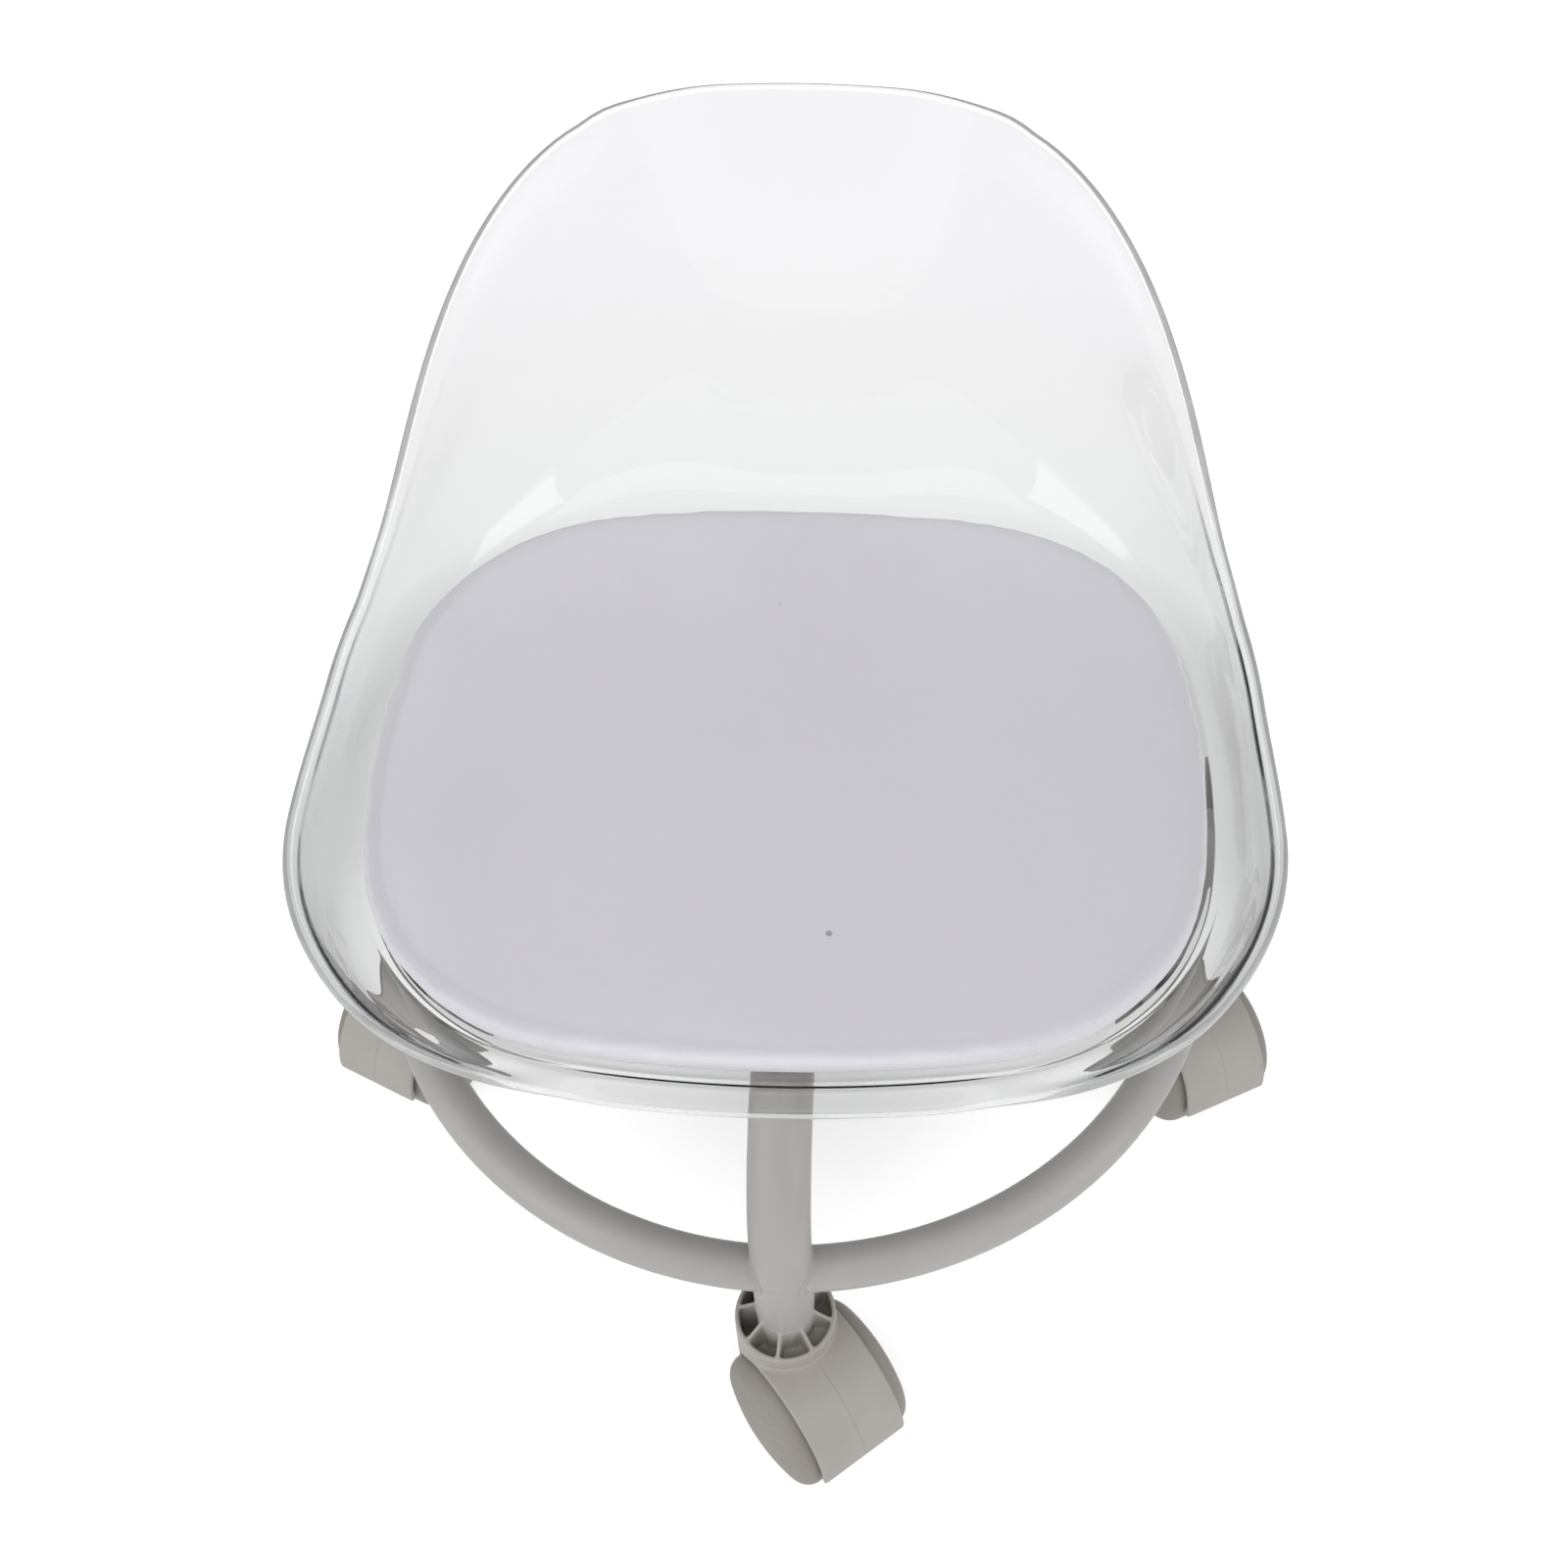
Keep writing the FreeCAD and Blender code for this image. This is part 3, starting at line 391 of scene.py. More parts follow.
plated_steel = make_plated_steel()
black_rubber = make_dull("black_rubber", tint(34, 34, 35), tint(52, 52, 52), 0.75, 0.9)
dark_plastic = make_dull("dark_plastic", tint(40, 40, 42), tint(56, 56, 58), 0.5, 0.65)
STEEL_PIECES = ["seat_plate", "seat_screws", "seat_nuts"]
CASTER_STEEL = ["caster_stem", "grip_ring", "swivel_washer", "caster_axle"]
for corner in CORNERS:
    STEEL_PIECES += [f"{corner}_{piece}" for piece in CASTER_STEEL]
    dress(corner + "_leg_socket", dark_plastic)
for node in STEEL_PIECES:
    dress(node, plated_steel)
dress("rubber_washers", black_rubber)
print("steel pieces:", len(STEEL_PIECES))

# %% [markdown]
# ## Caster plastic
# Hoods and wheels are moulded in a warm beige-grey nylon with a satin skin.
# The two are separate mouldings, so their shades differ slightly, and a thin parting line runs over
# each hood.
# The hood's own axes put the line where the two halves of the mould met; a few dark specks are
# trapped dirt.

# %% Finishes for the casters
def make_caster_plastic(name, low, high, parting_line):
    material, tree, shader, where = new_finish(name)
    broad = grain(tree, where, 30, 3)
    colour = blend_tints(tree, between(tree, broad, 0, 1), low, high)
    colour = stain(tree, colour, specks(tree, where, 55, 0.028), tint(96, 90, 84))
    skin = relief(tree, grain(tree, where, 2200, 2), 0.1, 0.0002)
    if parting_line:
        axes = tree.nodes.new("ShaderNodeSeparateXYZ")
        tree.links.new(where, axes.inputs[0])
        off_line = calculate(tree, "ABSOLUTE")
        tree.links.new(axes.outputs["X"], off_line.inputs[0])
        line = between(tree, off_line.outputs[0], 1, 0, 0.0001, 0.0003)
        colour = stain(tree, colour, line, tint(152, 146, 139))
        skin = relief(tree, line, 0.25, 0.0002, skin)
    tree.links.new(colour, shader.inputs["Base Color"])
    tree.links.new(between(tree, grain(tree, where, 400), 0.42, 0.54), shader.inputs["Roughness"])
    tree.links.new(skin, shader.inputs["Normal"])
    return material


hood_plastic = make_caster_plastic(
    "hood_plastic", tint(158, 153, 147), tint(166, 161, 155), parting_line=True)
wheel_plastic = make_caster_plastic(
    "wheel_plastic", tint(133, 128, 121), tint(141, 136, 129), parting_line=False)
for corner in CORNERS:
    for side in ("left", "right"):
        dress(f"{corner}_caster_{side}_wheel", wheel_plastic)
print("wheels finished:", 2 * len(CORNERS))

# %% [markdown]
# ## Caster hoods
# A moulded hood has no sharp edge: corners are eased, and the collar grows out of the hood in a
# soft cove.
# The solid has crisp edges, so one hood is copied, rebuilt as a fine even skin with Remesh, and
# relaxed a little.
# All four hoods are the same moulding, so they share that one mesh, each turned about its own
# swivel.

# %% Make one soft-edged hood and set it four times
JOINTS = {joint["name"]: joint for joint in frame["joints"]}
HOOD_VOXEL = 0.0006


def caster_place(corner):
    """A caster's own axes: the swivel axis on the floor, turned so that the axle lies along X."""
    foot = Vector(JOINTS[corner + "_caster_swivel"]["pos_m"])
    axle = JOINTS[corner + "_right_wheel_roll"]["axis"]
    turn = math.atan2(axle[1], axle[0])
    return Matrix.Translation((foot.x, foot.y, 0)) @ Matrix.Rotation(turn, 4, "Z")


def applied_mesh(piece):
    """The mesh that a piece has once its modifiers have been worked out."""
    bpy.context.view_layer.update()
    graph = bpy.context.evaluated_depsgraph_get()
    return bpy.data.meshes.new_from_object(piece.evaluated_get(graph), depsgraph=graph)


def make_soft_hood():
    mesh = frame["nodes"]["front_caster_hood"].data.copy()
    mesh.transform(caster_place("front").inverted())
    blank = bpy.data.objects.new("hood_blank", mesh)
    scene.collection.objects.link(blank)
    skin = blank.modifiers.new("even_skin", "REMESH")
    skin.mode = "VOXEL"
    skin.voxel_size = HOOD_VOXEL
    relax = blank.modifiers.new("eased_edges", "SMOOTH")
    relax.factor = 0.5
    relax.iterations = 10
    soft = applied_mesh(blank)
    bpy.data.objects.remove(blank)
    smooth(soft)
    soft.materials.clear()
    soft.materials.append(hood_plastic)
    return soft


soft_hood = make_soft_hood()
for corner in CORNERS:
    hood = bpy.data.objects.new(corner + "_moulded_hood", soft_hood)
    hood.matrix_world = caster_place(corner)
    scene.collection.objects.link(hood)
    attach(hood, corner + "_caster")
    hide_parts(corner + "_caster_hood")
print("hood faces:", len(soft_hood.polygons))

# %% [markdown]
# ## Weld beads
# The ring is four arcs of tube butted against the legs and welded all round, then painted over.
# Where two round tubes meet, the joint is a saddle curve, which follows from the two radii.
# A thin tube along that curve, with small ripples, gives the bead that catches the light at each
# joint.

# %% Weld the ring to the legs
BEAD_RADIUS = 0.0009
BEAD_POINTS = 72
RIPPLE_POINTS = 4.5


def saddle_points(leg_radius, tube_radius, ring_radius, side, count):
    """The joint as (along the ring, outward, up) from the leg's axis at the height of the ring."""
    points = []
    for step in range(count):
        angle = 2 * math.pi * step / count
        outward = tube_radius * math.cos(angle)
        along = math.sqrt(leg_radius ** 2 - outward ** 2)
        bend = along ** 2 / (2 * ring_radius)
        points.append((side * along, outward - bend, tube_radius * math.sin(angle)))
    return points


def make_weld(corner, side):
    place = JOINTS[corner + "_caster_swivel"]["pos_m"]
    ring_radius = math.hypot(place[0], place[1])
    low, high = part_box("front_left_ring_arc")
    tube_radius = (high.z - low.z) / 2
    leg_low, leg_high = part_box("front_leg")
    leg_radius = (leg_high.x - leg_low.x) / 2
    outward = Vector((place[0], place[1], 0)).normalized()
    onward = Vector((-outward.y, outward.x, 0))
    middle = Vector((place[0], place[1], (low.z + high.z) / 2))
    curve = bpy.data.curves.new(f"{corner}_{side}_weld", "CURVE")
    curve.dimensions = "3D"
    curve.bevel_depth = BEAD_RADIUS
    curve.bevel_resolution = 3
    line = curve.splines.new("POLY")
    way = 1 if side == "left" else -1
    points = saddle_points(leg_radius, tube_radius, ring_radius, way, BEAD_POINTS)
    line.points.add(len(points) - 1)
    line.use_cyclic_u = True
    for index, (along, out, up) in enumerate(points):
        spot = middle + onward * along + outward * out + Vector((0, 0, up))
        line.points[index].co = (*spot, 1)
        ripple = abs(math.sin(index * math.pi / RIPPLE_POINTS))
        line.points[index].radius = 0.85 + 0.35 * ripple
    rope = bpy.data.objects.new(f"{corner}_{side}_weld_line", curve)
    scene.collection.objects.link(rope)
    mesh = applied_mesh(rope)
    bpy.data.objects.remove(rope)
    smooth(mesh)
    mesh.materials.clear()
    mesh.materials.append(grey_paint)
    weld = bpy.data.objects.new(f"{corner}_{side}_weld", mesh)
    scene.collection.objects.link(weld)
    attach(weld, "stool")
    return weld


welds = [make_weld(corner, side) for corner in CORNERS for side in ("left", "right")]
print("weld beads:", len(welds))

# %% [markdown]
# ## The seat's outline
# Pad, recess and shell all share one outline: a rounded rectangle whose four sides bow outwards.
# Eight arcs that run smoothly into each other draw it, two radii for the bows and one for the
# corners.
# A point is looked up by the direction in which the edge faces, which also tells where outwards is.

# %% Draw the outline
HALF_WIDTH, HALF_LENGTH = 0.176, 0.148
SIDE_BOW, END_BOW, CORNER_RADIUS = 0.340, 0.560, 0.104
pad_low, pad_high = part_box("seat_pad")
SEAT_MIDDLE = (pad_low.y + pad_high.y) / 2


def seat_outline(offset, around):
    """Points and outward directions round the seat, an offset outside the edge of the recess."""
    side_bow, end_bow, corner = SIDE_BOW + offset, END_BOW + offset, CORNER_RADIUS + offset
    side_centre = np.array([HALF_WIDTH + offset - side_bow, 0])
    end_centre = np.array([0, HALF_LENGTH + offset - end_bow])
    from_side, from_end = side_bow - corner, end_bow - corner
    line = side_centre - end_centre
    apart = np.linalg.norm(line)
    line /= apart
    reach = (apart ** 2 + from_end ** 2 - from_side ** 2) / (2 * apart)
    aside = math.sqrt(from_end ** 2 - reach ** 2)
    corner_centre = end_centre + line * reach + np.array([line[1], -line[0]]) * aside
    side_turn = math.atan2(*(corner_centre - side_centre)[::-1])
    end_turn = math.atan2(*(corner_centre - end_centre)[::-1])
    half = [-side_turn, side_turn, end_turn, math.pi - end_turn]
    stops = half + [turn + math.pi for turn in half] + [2 * math.pi - side_turn]
    steps = around // 8
    turns = np.concatenate([np.linspace(start, end, steps, endpoint=False)
                            for start, end in zip(stops, stops[1:])])
    facing = np.stack([np.cos(turns), np.sin(turns)], 1)
    folded = np.arctan2(np.abs(facing[:, 1]), np.abs(facing[:, 0]))[:, None]
    way = np.concatenate([np.cos(folded), np.sin(folded)], 1)
    on_side, on_corner = side_centre + way * side_bow, corner_centre + way * corner
    quarter = np.where(folded < side_turn, on_side, on_corner)
    quarter = np.where(folded < end_turn, quarter, end_centre + way * end_bow)
    points = quarter * np.where(facing < 0, -1, 1) + np.array([0, SEAT_MIDDLE])
    return points, facing


AROUND = 288
edge_points, _ = seat_outline(0, AROUND)
print("recess:", (edge_points.max(0) - edge_points.min(0)).round(3))

# %% [markdown]
# ## The clear seat shell
# The shell is one moulding, 4 mm thick: a shallow recess, then a wall that flares out and curls up
# to the rim.
# Glass shows every flaw in a mesh, so the shell is woven as rows of points round the outline,
# joined by even quads.
# Each row follows a cubic curve from recess to rim; the outer skin is the inner one moved along its
# own normals.

# %% Shape the wall
WALL = 0.004
PAN_TOP = pad_low.z
RECESS_DEPTH, RECESS_STEP = 0.0025, 0.0015
FLANGE_TOP = PAN_TOP + RECESS_DEPTH
PAN_BOTTOM = PAN_TOP - WALL
LIP_FLARE, CORNER_FLARE, SIDE_FLARE, BACK_FLARE = 0.010, 0.025, 0.0112, 0.0678
LIP_RISE, SIDE_RISE, BACK_RISE, BACK_CROWN = -0.0062, 0.0371, 0.1758, 0.0032
# In degrees round the seat, from the middle of the front: where flare and rise change.
LIP_END, CORNER_PEAK, SIDE_START, SIDE_END, BACK_START = 28, 52, 93, 114, 168
RISE_START, SIDE_HEIGHT, BACK_RISE_START, BACK_HEIGHT, CROWN_START = 22, 63, 106, 154, 140
# The wall's cubic curve, and how much rounder its foot is in the rear corners.
FOOT_OUT, KNEE_OUT, KNEE_UP = 0.5, 0.62, 0.58
ROUNDER_FOOT_OUT, ROUNDER_KNEE_OUT, ROUNDER_KNEE_UP = 0.12, 0.22, -0.2
ROUNDER_FROM, ROUNDER_TO = (100, 126), (150, 174)
# The rim leans inwards just below its edge, except at the middle of the back.
RIM_ROLL = 0.02
ROLL_START, ROLL_PEAK = 0.6, 0.91
ROLL_FADE = (138, 164)


def ease(value, low, high):
    share = np.clip((value - low) / (high - low), 0, 1)
    return share * share * (3 - 2 * share)


def wall_row(share, brim, facing):
    """One row of the wall's inner face, from share 0 at the recess to 1 at the rim."""
    angle = np.degrees(np.arctan2(np.abs(brim[:, 0]), SEAT_MIDDLE - brim[:, 1]))
    flare = LIP_FLARE + (CORNER_FLARE - LIP_FLARE) * ease(angle, LIP_END, CORNER_PEAK)
    flare += (SIDE_FLARE - CORNER_FLARE) * ease(angle, CORNER_PEAK, SIDE_START)
    flare += (BACK_FLARE - SIDE_FLARE) * ease(angle, SIDE_END, BACK_START)
    rise = LIP_RISE + (SIDE_RISE - LIP_RISE) * ease(angle, RISE_START, SIDE_HEIGHT)
    rise += (BACK_RISE - SIDE_RISE) * ease(angle, BACK_RISE_START, BACK_HEIGHT)
    rise += BACK_CROWN * ease(angle, CROWN_START, 180)
    rounder = ease(angle, *ROUNDER_FROM) * (1 - ease(angle, *ROUNDER_TO))
    rest = 1 - share
    foot, knee, rim = 3 * rest * rest * share, 3 * rest * share * share, share ** 3
    roll = ease(share, ROLL_START, ROLL_PEAK) - ease(share, ROLL_PEAK, 1)
    roll = RIM_ROLL * np.maximum(rise, 0) * roll * (1 - ease(angle, *ROLL_FADE))
    foot_out = FOOT_OUT + ROUNDER_FOOT_OUT * rounder
    knee_out = KNEE_OUT + ROUNDER_KNEE_OUT * rounder
    knee_up = KNEE_UP + ROUNDER_KNEE_UP * rounder
    out = flare * (foot_out * foot + knee_out * knee + rim) - roll
    up = rise * (knee_up * knee + rim)
    return np.column_stack([brim + facing * out[:, None], FLANGE_TOP + up])


def unit(rows):
    return rows / np.linalg.norm(rows, axis=1, keepdims=True)


def skin_directions(share, brim, facing):
    """At each point of a row: the way up the wall, and the way out of its outer face."""
    step = 0.002
    row = wall_row(share, brim, facing)
    above = wall_row(min(share + step, 1), brim, facing)
    below = wall_row(max(share - step, 0), brim, facing)
    along = unit(above - below)
    across = unit(np.roll(row, -1, 0) - np.roll(row, 1, 0))
    return row, along, unit(np.cross(across, along))


def stepped(row, brim, facing, start, end):
    """Lowers a row over the recess; the step is a soft curve between two offsets from its edge."""
    offset = RECESS_STEP + ((row[:, :2] - brim) * facing).sum(1)
    row = row.copy()
    row[:, 2] -= RECESS_DEPTH * (1 - ease(offset, start, end))
    return row


UPPER_STEP, UNDER_STEP = (-0.0006, 0.003), (-0.004, 0.004)
WALL_ROWS = 60
RIM_STEPS = 10


def shell_rows():
    recess, _ = seat_outline(0, AROUND)
    brim, facing = seat_outline(RECESS_STEP, AROUND)
    middle = np.array([0, SEAT_MIDDLE])
    rows = []

    def level(points, height):
        return np.column_stack([points, np.full(len(points), height)])

    for scale in (0.2, 0.45, 0.7, 0.9, 0.985):
        rows.append(level(middle + (recess - middle) * scale, PAN_TOP))
    for inward in (0.0022, 0.0018, 0.0013, 0.0009, 0.0004):
        upper = level(brim - facing * inward, FLANGE_TOP)
        rows.append(stepped(upper, brim, facing, *UPPER_STEP))
    shares = (1 - np.cos(np.linspace(0, math.pi, WALL_ROWS))) / 2
    for share in shares:
        rows.append(stepped(wall_row(share, brim, facing), brim, facing, *UPPER_STEP))
    inner, along, out = skin_directions(1, brim, facing)
    first_of_rim = len(rows)
    for step in range(1, RIM_STEPS):
        angle = math.pi * step / RIM_STEPS
        round_over = along * math.sin(angle) - out * math.cos(angle)
        rows.append(inner + out * (WALL / 2) + round_over * (WALL / 2))
    rim_rows = (first_of_rim - 1, len(rows) - 2)
    for share in shares[:0:-1]:
        inner, along, out = skin_directions(share, brim, facing)
        rows.append(stepped(inner + out * WALL, brim, facing, *UNDER_STEP))
    for inward in (0.001, 0.002, 0.003, 0.004, 0.005, 0.0056):
        under = level(brim - facing * inward, FLANGE_TOP - WALL)
        rows.append(stepped(under, brim, facing, *UNDER_STEP))
    for scale in (0.94, 0.7, 0.45, 0.2):
        rows.append(level(middle + (recess - middle) * scale, PAN_BOTTOM))
    return rows, rim_rows


def weave(name, rows):
    """A closed mesh from rows of points, with a face over the first row and one over the last."""
    count = len(rows[0])
    points = np.concatenate(rows)
    faces = [list(range(count))]
    for row in range(len(rows) - 1):
        low, high = row * count, (row + 1) * count
        for index in range(count):
            onward = (index + 1) % count
            faces.append([low + onward, low + index, high + index, high + onward])
    last = (len(rows) - 1) * count
    faces.append(list(range(last + count - 1, last - 1, -1)))
    mesh = bpy.data.meshes.new(name)
    mesh.from_pydata(points.tolist(), [], faces)
    kit = bmesh.new()
    kit.from_mesh(mesh)
    bmesh.ops.recalc_face_normals(kit, faces=kit.faces)
    kit.to_mesh(mesh)
    kit.free()
    smooth(mesh)
    return mesh


all_rows, rim_rows = shell_rows()
shell_mesh = weave("clear_seat", all_rows)
print("shell points:", len(shell_mesh.vertices))

# %% [markdown]
# ## Clear plastic
# Clear plastic bends light less than glass and carries a faint grey-green tint that shows along its
# edges.
# A tint on the surface would colour it evenly, so the tint is put into the volume: the longer the
# way, the darker.
# The surface colour is also greyer in a band low on the walls, set higher towards the front:
# painted shade for the shaded floor and darker surroundings seen in them.
# A very slow waviness from the mould makes the reflections run, and light smears change the gloss
# in places.
# The rim was trimmed and only half polished again, so it gathers light as a pale band and has a
# finish of its own.
# Clear plastic hardly casts a shadow, so the shell is left out of the shadows.

# %% Finish and place the shell
CLEAR_IOR = 1.49
# Painted shade: the base colour is greyest in a band low on the walls, paler below it and pale up
# the back.
LOW_PAINTED_SHADE, HIGH_TINT = (0.83, 0.832, 0.83, 1), (0.9, 0.885, 0.9, 1)
LOW_LEVEL, HIGH_LEVEL = 0.18, 0.4
WALL_PAINTED_SHADES = [(0.205, 0.61), (0.232, 0.61), (0.262, 0.84)]


def make_clear_plastic():
    material, tree, shader, where = new_finish("clear_plastic")
    slope = tree.nodes.new("ShaderNodeVectorMath")
    slope.operation = "DOT_PRODUCT"
    slope.inputs[1].default_value = (0, 0.3, 1)
    tree.links.new(where, slope.inputs[0])
    # Painted shade: a ramp by height, a little higher towards the front, that darkens the lower
    # walls.
    ramp = tree.nodes.new("ShaderNodeValToRGB")
    stops = ramp.color_ramp.elements
    stops[0].position, stops[0].color = LOW_LEVEL, LOW_PAINTED_SHADE
    stops[1].position, stops[1].color = HIGH_LEVEL, HIGH_TINT
    for place, grey in WALL_PAINTED_SHADES:
        stops.new(place).color = (grey, grey + 0.003, grey, 1)
    tree.links.new(slope.outputs["Value"], ramp.inputs["Fac"])
    tree.links.new(ramp.outputs["Color"], shader.inputs["Base Color"])
    shader.inputs["Transmission Weight"].default_value = 1
    shader.inputs["IOR"].default_value = CLEAR_IOR
    smear = grain(tree, where, 26, 4)
    tree.links.new(between(tree, smear, 0.0, 0.05, 0.45, 0.8), shader.inputs["Roughness"])
    waves = relief(tree, grain(tree, where, 16, 1), 0.1, 0.002)
    tree.links.new(waves, shader.inputs["Normal"])
    body = tree.nodes.new("ShaderNodeVolumeAbsorption")
    body.inputs["Color"].default_value = (0.5, 0.525, 0.51, 1)
    body.inputs["Density"].default_value = 42
    join(tree, body, "Volume", tree.nodes["Material Output"], "Volume")
    return material


def make_trimmed_edge():
    material, tree, shader, where = new_finish("trimmed_edge")
    scrape = grain(tree, where, 60, 4)
    dull, polished = tint(232, 234, 232), tint(244, 245, 244)
    colour = blend_tints(tree, between(tree, scrape, 0, 1), dull, polished)
    tree.links.new(colour, shader.inputs["Base Color"])
    tree.links.new(between(tree, scrape, 0.16, 0.3), shader.inputs["Roughness"])
    marks = relief(tree, grain(tree, where, 500, 2), 0.08, 0.0002)
    tree.links.new(marks, shader.inputs["Normal"])
    shader.inputs["Transmission Weight"].default_value = 0.6
    shader.inputs["IOR"].default_value = CLEAR_IOR
    return material


shell_mesh.materials.append(make_clear_plastic())
shell_mesh.materials.append(make_trimmed_edge())
for face in shell_mesh.polygons:
    row = (face.index - 1) // AROUND
    if rim_rows[0] <= row < rim_rows[1]:
        face.material_index = 1
shell = bpy.data.objects.new("clear_seat", shell_mesh)
scene.collection.objects.link(shell)
shell.visible_shadow = False
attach(shell, "stool")
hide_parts("seat_shell")
print("shell:", [round(value, 3) for value in shell.dimensions])

# %% [markdown]
# ## The seat pad
# The pad is a thin sheet of foam in a fine pale cloth, cut to the recess and simply laid in it.
# Foam under cloth swells a little everywhere, so the pad is blown up by Blender's cloth with its
# underside held.
# Its edge was cut by hand, so the outline wanders by part of a millimetre before the cloth is
# stretched over it.
# It was cut a little too wide on the left, where its upper edge laps over the step of the recess.

# %% Cut the pad and let it swell
PAD_GAP = 0.0002
PAD_SHIFT = -0.0012
PAD_LAP = 0.0028
PAD_CROWN = 0.0006
PAD_WANDER = 0.0009
PAD_TOP = pad_high.z
PAD_AROUND = 192
PAD_VOXEL = 0.0026
UNDERSIDE_INSET = -0.0065
# The pad's edge from its underside to its top: offset from the recess, and share of its height.
PAD_PROFILE = [(-0.0045, 0.0), (-0.0032, 0.04), (-0.0024, 0.25), (-0.0014, 0.42), (-0.0014, 0.7),
               (-0.002, 0.86), (-0.0036, 0.94), (-0.01, 0.965), (-0.03, 0.97)]
COVER_PRESSURE = 4
SWELL_FRAMES = 20
SWELL_LIMIT = 0.0014


def hand_cut(point):
    """How far the knife strayed at a point: a slow drift and a faster tremble."""
    return noise.noise(Vector((*point * 22, 3.1))) + 0.5 * noise.noise(Vector((*point * 70, 9.4)))


def pad_rows():
    middle = np.array([0, SEAT_MIDDLE])
    bottom = PAN_TOP + PAD_GAP
    thick = PAD_TOP - PAN_TOP - PAD_GAP
    rows = []
    edge, _ = seat_outline(UNDERSIDE_INSET, PAD_AROUND)
    for scale in (0.25, 0.5, 0.75, 0.9):
        flat = middle + (edge - middle) * scale
        rows.append(np.column_stack([flat, np.full(PAD_AROUND, bottom)]))
    for offset, level in PAD_PROFILE:
        edge, facing = seat_outline(offset, PAD_AROUND)
        edge = edge + np.array([PAD_SHIFT, 0])
        edge[:, 0] -= PAD_LAP * ease(-edge[:, 0], 0.08, 0.165) * ease(level, 0.3, 0.45)
        wander = np.array([hand_cut(point) for point in edge])
        edge = edge + facing * (wander * PAD_WANDER)[:, None]
        rows.append(np.column_stack([edge, np.full(PAD_AROUND, bottom + thick * level)]))
    top = rows[-1]
    for scale in (0.8, 0.6, 0.4, 0.2):
        flat = middle + (top[:, :2] - middle) * scale
        rows.append(np.column_stack([flat, top[:, 2] + PAD_CROWN * (1 - scale ** 2)]))
    return rows


def swell(pad):
    """Blows the pad up by cloth pressure, its underside held; the top rises evenly, and not far."""
    held = pad.vertex_groups.new(name="underside")
    held.add([v.index for v in pad.data.vertices if v.co.z < PAN_TOP + 0.001], 1, "REPLACE")
    cloth = pad.modifiers.new("stretched_cover", "CLOTH")
    cloth.settings.use_pressure = True
    cloth.settings.uniform_pressure_force = COVER_PRESSURE
    cloth.settings.vertex_group_mass = "underside"
    cloth.settings.effector_weights.gravity = 0
    cloth.settings.quality = 4
    for step in range(1, SWELL_FRAMES + 1):
        scene.frame_set(step)
    graph = bpy.context.evaluated_depsgraph_get()
    blown = np.array([v.co for v in pad.evaluated_get(graph).data.vertices])
    start = np.array([v.co for v in pad.data.vertices])
    pad.modifiers.remove(cloth)
    scene.frame_set(1)
    move = blown - start
    length = np.linalg.norm(move, axis=1, keepdims=True)
    move *= np.minimum(1, SWELL_LIMIT / np.maximum(length, 1e-9))
    level = (start[:, 2] - PAN_TOP) / (PAD_TOP - PAN_TOP)
    on_top = ease(level, 0.7, 0.94)
    move[:, 2] += on_top * (move[level > 0.9, 2].mean() - move[:, 2])
    for vertex, place in zip(pad.data.vertices, start + move):
        vertex.co = place
    return float(np.abs(move).max())


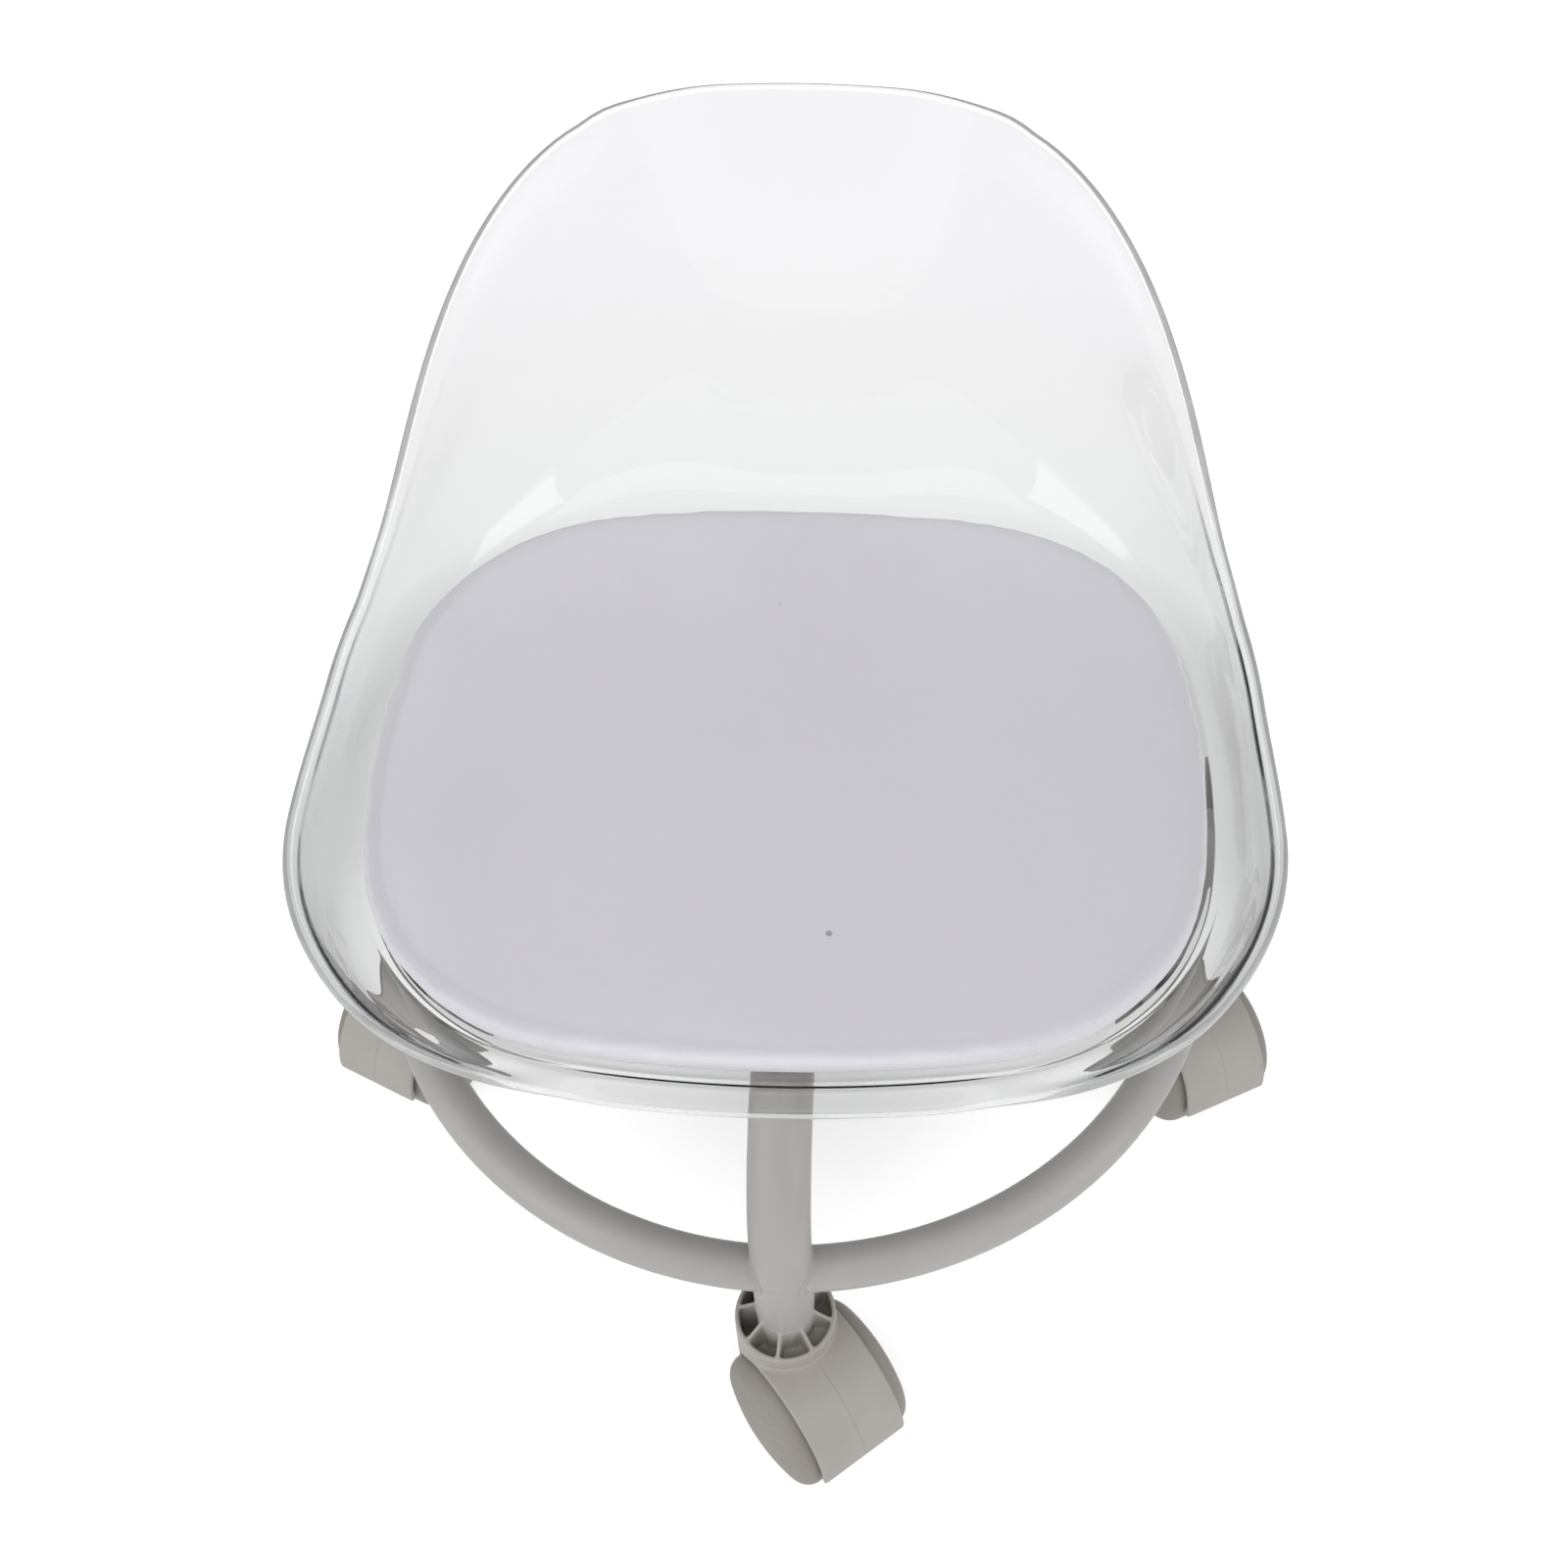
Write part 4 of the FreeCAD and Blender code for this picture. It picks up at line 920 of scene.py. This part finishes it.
def make_pad():
    blank = bpy.data.objects.new("pad_blank", weave("pad_blank", pad_rows()))
    scene.collection.objects.link(blank)
    skin = blank.modifiers.new("even_skin", "REMESH")
    skin.mode = "VOXEL"
    skin.voxel_size = PAD_VOXEL
    relax = blank.modifiers.new("eased_edges", "SMOOTH")
    relax.iterations = 3
    mesh = applied_mesh(blank)
    bpy.data.objects.remove(blank)
    pad = bpy.data.objects.new("cloth_pad", mesh)
    scene.collection.objects.link(pad)
    moved = swell(pad)
    print("pad swelled by up to", round(moved * 1000, 2), "mm")
    finer = pad.modifiers.new("finer", "SUBSURF")
    finer.levels = 1
    finer.render_levels = 1
    pad.data = applied_mesh(pad)
    pad.modifiers.clear()
    smooth(pad.data)
    return pad


pad = make_pad()
print("pad:", [round(value, 4) for value in pad.dimensions], "points:", len(pad.data.vertices))

# %% [markdown]
# ## Pad cloth
# The cover is a fine plain weave in a cool white with a matte, slightly brushed surface.
# Two sets of fine waves at right angles make the threads, and a noise breaks them up so that they
# aren't ruled lines.
# A weak sheen stands for the loose fibre ends, and a few tiny specks are lint.

# %% Finish and place the pad
def threads(tree, where, direction, scale):
    wave = tree.nodes.new("ShaderNodeTexWave")
    wave.bands_direction = direction
    wave.inputs["Scale"].default_value = scale
    wave.inputs["Distortion"].default_value = 1.2
    wave.inputs["Detail"].default_value = 1
    wave.inputs["Detail Scale"].default_value = 2
    tree.links.new(where, wave.inputs["Vector"])
    return wave.outputs["Fac"]


def make_pad_cloth():
    material, tree, shader, where = new_finish("pad_cloth")
    crossing = calculate(tree, "MULTIPLY")
    tree.links.new(threads(tree, where, "X", 420), crossing.inputs[0])
    tree.links.new(threads(tree, where, "Y", 420), crossing.inputs[1])
    drift = grain(tree, where, 9, 3)
    colour = blend_tints(tree, between(tree, drift, 0, 1), tint(209, 207, 213), tint(213, 211, 217))
    colour = stain(tree, colour, specks(tree, where, 17, 0.03), tint(150, 149, 152))
    tree.links.new(colour, shader.inputs["Base Color"])
    tree.links.new(between(tree, grain(tree, where, 700), 0.82, 0.95), shader.inputs["Roughness"])
    shader.inputs["Sheen Weight"].default_value = 0.15
    shader.inputs["Sheen Roughness"].default_value = 0.6
    fuzz = relief(tree, grain(tree, where, 1500, 3), 0.2, 0.0003)
    tree.links.new(relief(tree, crossing.outputs[0], 0.18, 0.0002, fuzz), shader.inputs["Normal"])
    return material


pad.data.materials.clear()
pad.data.materials.append(make_pad_cloth())
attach(pad, "stool")
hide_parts("seat_pad")
print("pad finished:", pad.name)
